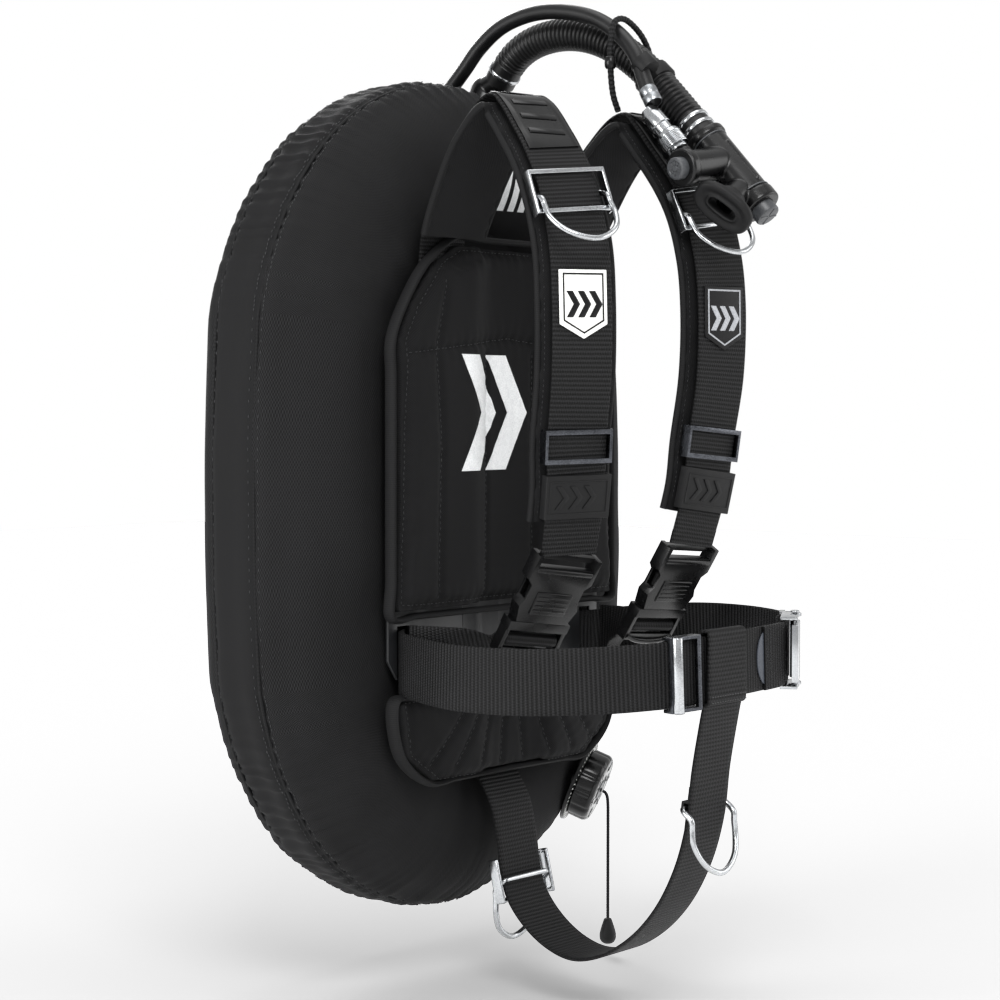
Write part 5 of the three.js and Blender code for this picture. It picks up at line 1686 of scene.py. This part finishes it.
@dataclass
class WaistBelt:
    """The belt in two runs, its lever buckle, its slide and its rubber tab."""

    half: float = 25.4
    thick: float = 2.5
    bar_run: float = 24.0
    bar_lift: float = -4.4

    def build(self) -> None:
        """Makes the belt's pieces."""
        self.route = StrapRoute([point(spot) for spot in BELT_POINTS], [Z_AXIS] * len(BELT_POINTS))
        self.buckle_share = self.share(108)
        self.webbing()
        self.buckle()
        self.slide()

    def share(self, x: float) -> float:
        """Returns the share of the front run at a place across."""
        return self.route.near(0, x, 0.25, 0.62)

    def webbing(self) -> None:
        """Makes both runs, the folded tail and the loop round the buckle's bar."""
        half_buckle = 0.021 / self.route.length
        section = flat_section(self.half, self.thick / 2, 12)
        right = band(self.route, 0, self.buckle_share + 0.4 * half_buckle, section, 260)
        tail = band(self.route, self.share(52), self.buckle_share - 1.12 * half_buckle, section,
                    30, self.thick - 0.1)
        Piece("right_belt", WEBBING, replaces="right_waist_belt").of(merged([right, tail]))
        left = band(self.route, self.buckle_share + (self.bar_run + 2) * MM / self.route.length,
                    1, section, 160)
        loop = bar_loop(self.route.seat(self.buckle_share), (self.bar_lift, self.bar_run),
                        2.6 + self.thick / 2, pi / 2, Z_AXIS,
                        flat_section(self.half - 0.5, self.thick / 2, 8))
        Piece("left_belt", WEBBING, replaces="left_waist_belt").of(merged([left, loop]))
        rows = []
        for x in (54, 58):
            centre, _, across, outward = self.route.frame(self.share(x))
            rows += bar_tack(centre + outward * ((self.thick * 1.5 + 0.05) * MM), across, outward)
        Piece("belt_tail_stitches", THREAD, slot="webbing").of(stitches(rows, 2.4, 0.6))

    def buckle(self) -> None:
        """Makes the buckle's frame, pin and lever."""
        dressed("buckle_frame", POLISHED, "waist_buckle_frame", 0.45, 2)
        dressed("buckle_pin", POLISHED, "waist_buckle_pin", 0.4, 2)
        dressed("buckle_lever_plate", POLISHED, "waist_buckle_lever", 0.6, body="buckle_lever")

    def slide(self) -> None:
        """Makes the slide with its round front bar, and the half-round tab at the tail."""
        dressed("belt_adjuster", GUNMETAL, "belt_slide", 0.6)
        seat = self.route.seat(self.share(-47))
        bar = rod(4.3, -28.8, 28.8, "X", 40, (6.2, -10))
        soften(bar, 0.8, 3)
        Piece("belt_adjuster_bar", POLISHED, slot="gunmetal").of(bar, seat)
        seat = self.route.seat(self.share(44))
        arc = [(22 * cos(pi * k / 20 + pi), 14 * sin(pi * k / 20 + pi)) for k in range(21)]
        tab = plate_shape([(x, z + 12) for x, z in arc], self.thick / 2, self.thick / 2 + 1.3,
                          0.4, 3)
        Piece("belt_tab", TAB_RUBBER).of(tab, seat)


# ---- crotch strap -------------------------------------------------------------------
CROTCH_POINTS: tuple[Pair, ...] = (
    (-7.6, -199), (-13, -214), (-25, -233), (-37, -252), (-43.5, -276), (-48, -304),
    (-55, -327), (-72, -347), (-96, -362), (-122, -368), (-151, -361), (-180, -343),
    (-205, -316), (-224, -281), (-235, -244), (-240, -205), (-247, -168), (-250.5, -151.5))


@dataclass
class CrotchStrap:
    """The strap from the plate's foot to the belt, with a ring at each end."""

    half: float = 25.4
    thick: float = 2.5

    def build(self) -> None:
        """Makes the strap, its loops and its rings."""
        route = StrapRoute([point((0, y, z)) for y, z in CROTCH_POINTS],
                           [-X_AXIS] * len(CROTCH_POINTS))
        section = flat_section(self.half, self.thick / 2, 12)
        ribbon = band(route, 0, 1, section, 240)
        belt = self.box_loop(-250.2, -124.0, 6.1, 53.8, section)
        foot = self.box_loop(-3.9, -192.5, 3.8, 10.6, flat_section(22.4, self.thick / 2, 10))
        Piece("crotch_webbing", WEBBING, replaces="crotch_strap").of(merged([ribbon, belt, foot]))
        rows = [bar_tack(point((0, -257.0, height)), X_AXIS, -Y_AXIS)
                for height in (-146.0, -150.5)]
        Piece("crotch_stitches", THREAD, slot="webbing").of(stitches(rows[0] + rows[1], 2.4, 0.6))
        self.rings(route)

    def box_loop(self, y: float, z: float, depth: float, height: float,
                 section: list[Pair]) -> Shape:
        """Makes a flat loop of webbing in the plane of Y and Z, about a centre."""
        deep, tall = depth / 2 + self.thick / 2, height / 2 + self.thick / 2
        corner = min(2.6, deep * 0.8)
        spots = []
        corners = ((1, 1), (-1, 1), (-1, -1), (1, -1))
        for turn, (here, after) in enumerate(zip(corners, corners[1:] + corners[:1])):
            for step in range(7):
                angle = turn * pi / 2 + min(step, 3) * pi / 6
                side, rise = Vector(here).lerp(Vector(after), max(0, step - 3) / 4)
                spots.append(point((0, y + side * (deep - corner) + corner * cos(angle),
                                    z + rise * (tall - corner) + corner * sin(angle))))
        spots.append(spots[0])
        route = StrapRoute(spots, [X_AXIS] * len(spots))
        return band(route, 0, 1, section, 120)

    def rings(self, route: StrapRoute) -> None:
        """Makes the two rings, the rear slide and the front loop."""
        rear = route.seat(route.near(2, -314, 0, 0.45))
        front = route.seat(route.near(2, -234, 0.6, 1), backwards=True)
        for word, seat in (("rear", rear), ("front", front)):
            Piece(f"{word}_ring", POLISHED, body=f"{word}_ring",
                  replaces=f"{word}_crotch_ring").of(ring_shape(), seat)
        dressed("rear_ring_frame", POLISHED, "rear_ring_slide", 0.9)
        dressed("front_ring_holder", WEBBING, "front_ring_loop", 0.5, 2)


# ---- inflator -----------------------------------------------------------------------
def seat_from(place: Vector, x_axis: Vector, z_axis: Vector) -> Matrix:
    """Returns a placement from a place in metres and two square axes."""
    made = Matrix((x_axis, z_axis.cross(x_axis), z_axis)).transposed().to_4x4()
    made.translation = place
    return made


def spring(node: str, seat: Matrix, radius: float, fixed: float, pressed: float
           ) -> None:
    """Makes a wire spring coiled about Z from the end that stays to the end that is pressed.

    Args:
        node: the frame's node.
        seat: the place of its axis.
        radius: the coil's radius, in millimetres.
        fixed: height of the end that stays.
        pressed: height of the other end.
    """
    steps, turns = 72, 3
    spots = []
    for step in range(steps + 1):
        angle = step / steps * turns * 2 * pi
        spots.append(point((radius * cos(angle), radius * sin(angle),
                            fixed + (pressed - fixed) * step / steps)))
    coil = tube(Curve(spots), lambda run, angle: 0.7 * MM, 144, 10, Z_AXIS)
    made = Piece(f"{node}_coil", BRUSHED, slot="steel_wire", body="", replaces=node,
                 sharp_deg=80).of(coil, seat)
    tuple(seat @ point((0, 0, fixed)))
    tuple(seat @ point((0, 0, pressed)))
    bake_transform(made)


@dataclass
class Inflator:
    """The power inflator at the hose's end: body, buttons, mouthpiece and quick connector."""

    radius: float = 15.5
    length: float = 74.0
    branch: float = 52.0
    branch_radius: float = 13.5
    branch_z: float = -30.0
    inflate: float = 9.0
    deflate: float = 10.5
    nipple_x: float = 38.0
    stem_length: float = 40.0
    hose: tuple[Triple, Triple] = ((86.2, -156, 311.5), (87, -170, 296))

    def build(self) -> None:
        """Makes the inflator's pieces."""
        up = (point(self.hose[0]) - point(self.hose[1])).normalized()
        side = Vector((-0.975, 0.22, -0.026))
        side = (side - up * side.dot(up)).normalized()
        self.seat = seat_from(point(self.hose[1]) - up * (0.4 * MM), side, up)
        way = Vector((0.93, -0.02, -0.38)).normalized()
        self.stem = aimed(point((0, 0, -58)), way)
        self.body()
        self.buttons()
        self.mouthpiece()
        self.connector()

    def body(self) -> None:
        """Makes the moulded body as one skin with soft inner corners."""
        foot = -self.length
        solids = [
            soften(rod(self.radius, foot + 1, -0.2, "Z", 64), 1.2),
            soften(rod(self.radius + 2, -7.5, -0.5, "Z", 64), 1.4, 3),
            soften(rod(self.radius + 1.6, foot - 8, foot + 4, "Z", 64), 1.6, 3),
            rod(self.branch_radius, 0, self.branch, "X", 56, (0, self.branch_z)),
            soften(rod(self.branch_radius + 2, self.branch - 6, self.branch + 2, "X", 56,
                       (0, self.branch_z)), 1.4, 3),
            rod(7.5, self.branch_z, self.branch_z + 16.5, "Z", 40, (self.nipple_x, 0)),
            rod(4.5, self.branch_z + 6, self.branch_z + self.branch_radius + 14.5, "Z", 40,
                (self.nipple_x, 0)),
            moved(rod(11, 0, self.stem_length, "Z", 48), self.stem),
            block((3.0, 34.6, 44), (0, 0, -42), 1.4, 3),
        ]
        bores = [
            rod(self.inflate + 0.4, self.branch - 11.9, self.branch + 3, "X", 64,
                (0, self.branch_z)),
            rod(self.deflate + 0.4, foot - 9, foot + 5.9, "Z", 64),
            moved(rod(7.5, self.stem_length - 21, self.stem_length + 1, "Z", 40), self.stem)]
        Piece("inflator_moulding", SATIN_PLASTIC, replaces="inflator_body",
              sharp_deg=50).of(fused(merged(solids), 0.8, 3, bores), self.seat)
        rings = []
        for low, high, wide in ((-9.4, -8.0, 0.9), (foot + 5.0, foot + 6.4, 0.9)):
            rings.append(turned([(self.radius - 0.5, low), (self.radius + wide, low + 0.2),
                                 (self.radius + wide, high - 0.2), (self.radius - 0.5, high),
                                 (self.radius - 0.5, low)], 64))
        Piece("inflator_rings", GREY_PLASTIC, slot="black_plastic").of(merged(rings), self.seat)

    def buttons(self) -> None:
        """Makes both buttons with their raised marks, and their springs."""
        floor = self.branch - 11.9
        to_branch = Matrix.Translation(point((0, 0, self.branch_z))) @ Matrix.Rotation(
            pi / 2, 4, "Y")
        low, high = floor + 8, floor + 21
        face = turned([(0, low), (self.inflate, low), (self.inflate, high - 1.4),
                       (self.inflate - 0.5, high - 0.4), (self.inflate - 1.6, high),
                       (6.4, high), (5.9, high - 0.7), (2.6, high - 0.7), (2.1, high),
                       (0, high)], 64)
        rays = repeated(8, lambda _: block((0.8, 3.0, 0.9), (0, 4.2, high - 0.4), 0.25, 2))
        Piece("inflate_button_cap", GREY_PLASTIC, body="inflate",
              replaces="inflate_button").of(merged([face, rays]), self.seat @ to_branch)
        spring("inflate_spring", self.seat @ to_branch, 6.6, floor + 1, floor + 7)
        floor = -self.length - 8 + 13.9
        top = floor - 8.4
        face = turned([(0, top), (self.deflate, top), (self.deflate, top - 13.2),
                       (self.deflate - 0.6, top - 14.4), (self.deflate - 1.8, top - 15),
                       (0, top - 15)], 72)
        arms = repeated(4, lambda _: block((1.6, 8.0, 1.2), (0, 5.0, top - 14.9), 0.4, 2))
        Piece("deflate_button_cap", GREY_PLASTIC, body="deflate",
              replaces="deflate_button").of(merged([face, arms]), self.seat)
        spring("deflate_spring", self.seat, 7.6, floor - 1, top + 1)

    def mouthpiece(self) -> None:
        """Makes the soft oval mouthpiece with its slot and raised lip."""
        stem = self.stem_length
        columns = 72

        def ring(x: float, y: float, power: float, height: float) -> list[Vector]:
            """Returns one oval ring's places."""
            spots = []
            for step in range(columns):
                angle = 2 * pi * step / columns
                c, s = cos(angle), sin(angle)
                spots.append(point((x * copysign(abs(c) ** power, c),
                                    y * copysign(abs(s) ** power, s), height)))
            return spots

        profile = [(7.5, 7.5, 1.0, -3.0), (11.4, 11.4, 1.0, -8.8), (13.7, 13.7, 1.0, -8.9),
                   (14.0, 14.0, 1.0, -6.5), (14.0, 14.0, 1.0, -1.5), (17.0, 14.6, 0.95, 0.2),
                   (23.5, 14.9, 0.85, 0.4), (25.6, 15.6, 0.8, 1.4), (26.0, 16.0, 0.78, 3.6),
                   (25.3, 15.3, 0.78, 6.2), (23.4, 13.4, 0.78, 7.4), (19.5, 10.2, 0.78, 6.9),
                   (15.6, 7.6, 0.74, 6.3), (14.6, 6.6, 0.72, 7.3), (13.6, 5.6, 0.7, 7.7),
                   (12.7, 4.7, 0.68, 7.0), (12.5, 4.5, 0.68, 4.0), (11.0, 4.5, 0.75, 0.5),
                   (7.5, 7.5, 1.0, -3.0)]
        rings = [ring(x, y, power, height + stem + 0.4) for x, y, power, height in profile]

        def place(around: float, run: float) -> Corner:
            """Puts one corner of the grid on the mouthpiece."""
            row = round(run * (len(rings) - 1))
            return rings[row][round(around * columns) % columns], (around, run)

        shape = wrapped(columns, len(rings) - 1, place, join_rows=True)
        bmesh.ops.subdivide_edges(shape, edges=shape.edges[:], cuts=1, use_grid_fill=True,
                                  smooth=0.8)
        Piece("mouthpiece_lip", RUBBER, replaces="mouthpiece",
              sharp_deg=60).of(shape, self.seat @ self.stem)

    def connector(self) -> None:
        """Makes the quick connector and its knurled sleeve."""
        foot = self.branch_z + self.branch_radius + 5.5
        seat = self.seat @ Matrix.Translation(point((self.nipple_x, 0, foot)))
        body = turned([(4.9, 0), (6.8, 0), (7.2, 0.4), (7.2, 27), (8.1, 27), (8.4, 27.4),
                       (8.4, 39.4), (8.0, 40), (6.7, 45.6), (6.2, 46), (0, 46), (0, 12),
                       (4.9, 12), (4.9, 0)], 64)
        Piece("connector_barrel", POLISHED, replaces="connector_body").of(body, seat)
        profile = [(7.7, 3), (9.5, 3), (10, 3.5)]
        for ring in range(7):
            profile += [(10.0, 4.4 + ring * 1.5), (9.4, 4.9 + ring * 1.5),
                        (10.0, 5.4 + ring * 1.5)]
        profile += [(10, 17.2), (9.2, 18.6), (8.6, 19), (7.7, 19), (7.7, 3)]
        Piece("lock_sleeve_grip", POLISHED, body="lock_sleeve",
              replaces="connector_sleeve").of(turned(profile, 64), seat)


# ---- the wing's elbow and dump valve ------------------------------------------------
@dataclass
class Elbow:
    """The elbow that joins the corrugated hose to the top of the wing."""

    knee: float = 20.0
    hose: tuple[Triple, Triple] = ((81, 42, 359), (79, 33, 368))

    def build(self) -> None:
        """Makes the elbow."""
        wing = Wing()
        place, out = wing.line(0.2)
        seat = aimed((place + out * wing.radius) * MM, out)
        outlet = (point(self.hose[0]) - point(self.hose[1])).normalized()
        end = point(self.hose[0]) + outlet * (0.4 * MM)
        knee = seat @ point((0, 0, self.knee))
        arm = end - knee
        turn = aimed(knee, arm.normalized())
        reach = arm.length / MM
        low = bmesh.new()
        bmesh.ops.create_uvsphere(low, u_segments=32, v_segments=20, radius=13 * MM)
        solids = [
            moved(soften(rod(24, 0.4, 3.0, "Z", 64), 0.9, 3), seat),
            moved(rod(14.6, -11, 2, "Z", 48), seat),
            moved(rod(13, 0, self.knee, "Z", 48), seat),
            moved(low, Matrix.Translation(knee)),
            moved(rod(12, 0, reach, "Z", 48), turn)]
        back = moved(rod(60, -60, 0, "Z", 24), aimed(end, outlet))
        Piece("wing_elbow_moulding", SATIN_PLASTIC, replaces="wing_elbow",
              sharp_deg=50).of(fused(merged(solids), 0.9, 3, [back]))


@dataclass
class DumpValve:
    """The rear dump valve: base, vented cap, seal, poppet, and its pull cord and knob."""

    angle: float = 48.0
    outward: float = 44.0
    cord_radius: float = 1.1
    cord_points: tuple[Triple, ...] = (
        (141.9, -25.9, -264), (142.9, -27.9, -265.2), (143.7, -29.5, -268.5),
        (144, -30.2, -275), (144, -30.4, -290), (144, -30.4, -312), (144, -30.4, -335),
        (144, -30.4, -357), (144, -30.4, -377))

    def build(self) -> None:
        """Makes the valve's pieces."""
        wing = Wing()
        place, out = wing.line(1 - self.angle / 360)
        tilt = math.asin(self.outward / wing.radius)
        normal = Vector((0, -cos(tilt), 0)) + out * sin(tilt)
        self.seat = aimed((place + normal * wing.radius) * MM, normal)
        self.base()
        self.cap_piece()
        self.pull()

    def base(self) -> None:
        """Makes the base with its ring of marks, and the seal."""
        shape = turned([(15, -10), (19, -10), (19, 0.4), (36.4, 0.4), (37, 1.0), (36.2, 3.2),
                        (35.4, 3.6), (24.6, 3.6), (24.6, 12.4), (24.0, 13), (21.4, 13),
                        (21.4, 3.6), (15, 3.6), (15, -10)], 96)
        Piece("dump_base", SATIN_PLASTIC, replaces="dump_valve_base").of(shape, self.seat)
        ticks = repeated(48, lambda step: block((0.9, 2.2 if step % 3 else 3.4, 0.5),
                                                (0, 33.4, 3.65), 0.15, 1))
        Piece("dump_base_ticks", WHITE_RUBBER, slot="grey_plastic").of(ticks, self.seat)
        seal = turned([(15.6, 4.2), (16.2, 5.6), (19.8, 5.6), (20.4, 4.2), (19.8, 4.0),
                       (16.2, 4.0), (15.6, 4.2)], 64)
        Piece("dump_seal", RUBBER, replaces="dump_valve_seal").of(seal, self.seat)

    def cap_piece(self) -> None:
        """Makes the lobed cap with its vents and slotted middle, and the poppet."""
        lobes = 12
        profile = [(3, 17), (25, 17), (25, 4.4), (29.8, 4.4), (30.5, 5.2), (30.5, 18.2),
                   (29.8, 20.0), (28.2, 21.8), (26.5, 22.5), (14.5, 22.5), (13.6, 21.7),
                   (9.2, 21.7), (8.6, 22.5), (3, 22.5), (3, 17)]
        shape = turned(profile, 144)
        for vert in shape.verts:
            radial = hypot(vert.co.x, vert.co.y) / MM
            if radial > 27.5:
                angle = math.atan2(vert.co.y, vert.co.x)
                dip = 1.1 * max(0.0, cos(angle * lobes)) ** 3 * min(1.0, (radial - 27.5) / 2)
                vert.co.x *= 1 - dip / radial
                vert.co.y *= 1 - dip / radial
        vents = repeated(6, lambda _: rod(2.8, 14, 26, "Z", 32, (20, 0)))
        result = carved(placed("cap", shape), [vents])
        Piece("dump_cap", PATCH_RUBBER, "dump_valve_cap", slot="black_plastic").of(
            result, self.seat)
        grips = repeated(6, lambda _: block((1.2, 8.5, 0.9), (0, 22.3, 22.5), 0.35, 2), 0.25)
        disc = turned([(2.3, 22.0), (8.2, 22.0), (8.4, 22.4), (8.1, 22.9), (2.6, 22.9),
                       (2.3, 22.6), (2.3, 22.0)], 64)
        Piece("dump_cap_ribs", PATCH_RUBBER, slot="black_plastic").of(grips, self.seat)
        Piece("dump_cap_disc", GREY_PLASTIC).of(disc, self.seat)
        poppet = turned([(0, 6), (20.0, 6), (20.4, 6.5), (20.2, 8), (5, 8), (3.2, 10.4),
                         (1.8, 10.8), (1.8, 24.0), (1.4, 24.4), (0, 24.4)], 64)
        Piece("dump_poppet", SATIN_PLASTIC, body="poppet",
              replaces="dump_valve_poppet").of(poppet, self.seat)
        spring("dump_valve_spring", self.seat, 12, 16, 9)

    def pull(self) -> None:
        """Makes the pull cord and its knob."""
        curve = Curve(point(spot) for spot in self.cord_points)
        shape = tube(curve, lambda run, angle: (
            self.cord_radius - 0.04 + 0.06 * sin(2 * angle + run * 300)) * MM, 260, 12)
        cord = Piece("pull_cord", WEBBING, slot="elastic_cord", body="pull",
                     replaces="dump_pull_cord", sharp_deg=80).of(shape)
        end = self.cord_points[-1]
        profile = [(0, -22), (3.6, -21.8), (5.2, -20.8), (6.6, -18.6), (7.0, -16.6),
                   (6.9, -13.4), (6.2, -10.4), (5.0, -6.4), (3.9, -3.0), (3.0, -0.6),
                   (2.3, -0.1), (0, 0)]
        place = Matrix.Translation(point((end[0], end[1], end[2] - 0.4)))
        made = Piece("pull_knob", RUBBER, body="pull",
                     replaces="dump_pull_knob", sharp_deg=60).of(turned(profile, 48), place)
        tuple(curve.at(0))
        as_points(curve.polyline(40))


def main() -> None:
    """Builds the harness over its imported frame."""
    logging.basicConfig(level=logging.INFO, format="%(message)s")
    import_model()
    Studio().build()
    Hoses().build()
    Wing().build()
    Plate().build()
    BackCushions().build()
    for name, side in SIDES:
        Shoulder(name, side).build()
        SideBuckle(name, side).build()
    WaistBelt().build()
    CrotchStrap().build()
    Elbow().build()
    Inflator().build()
    DumpValve().build()


if __name__ == "__main__":
    main()
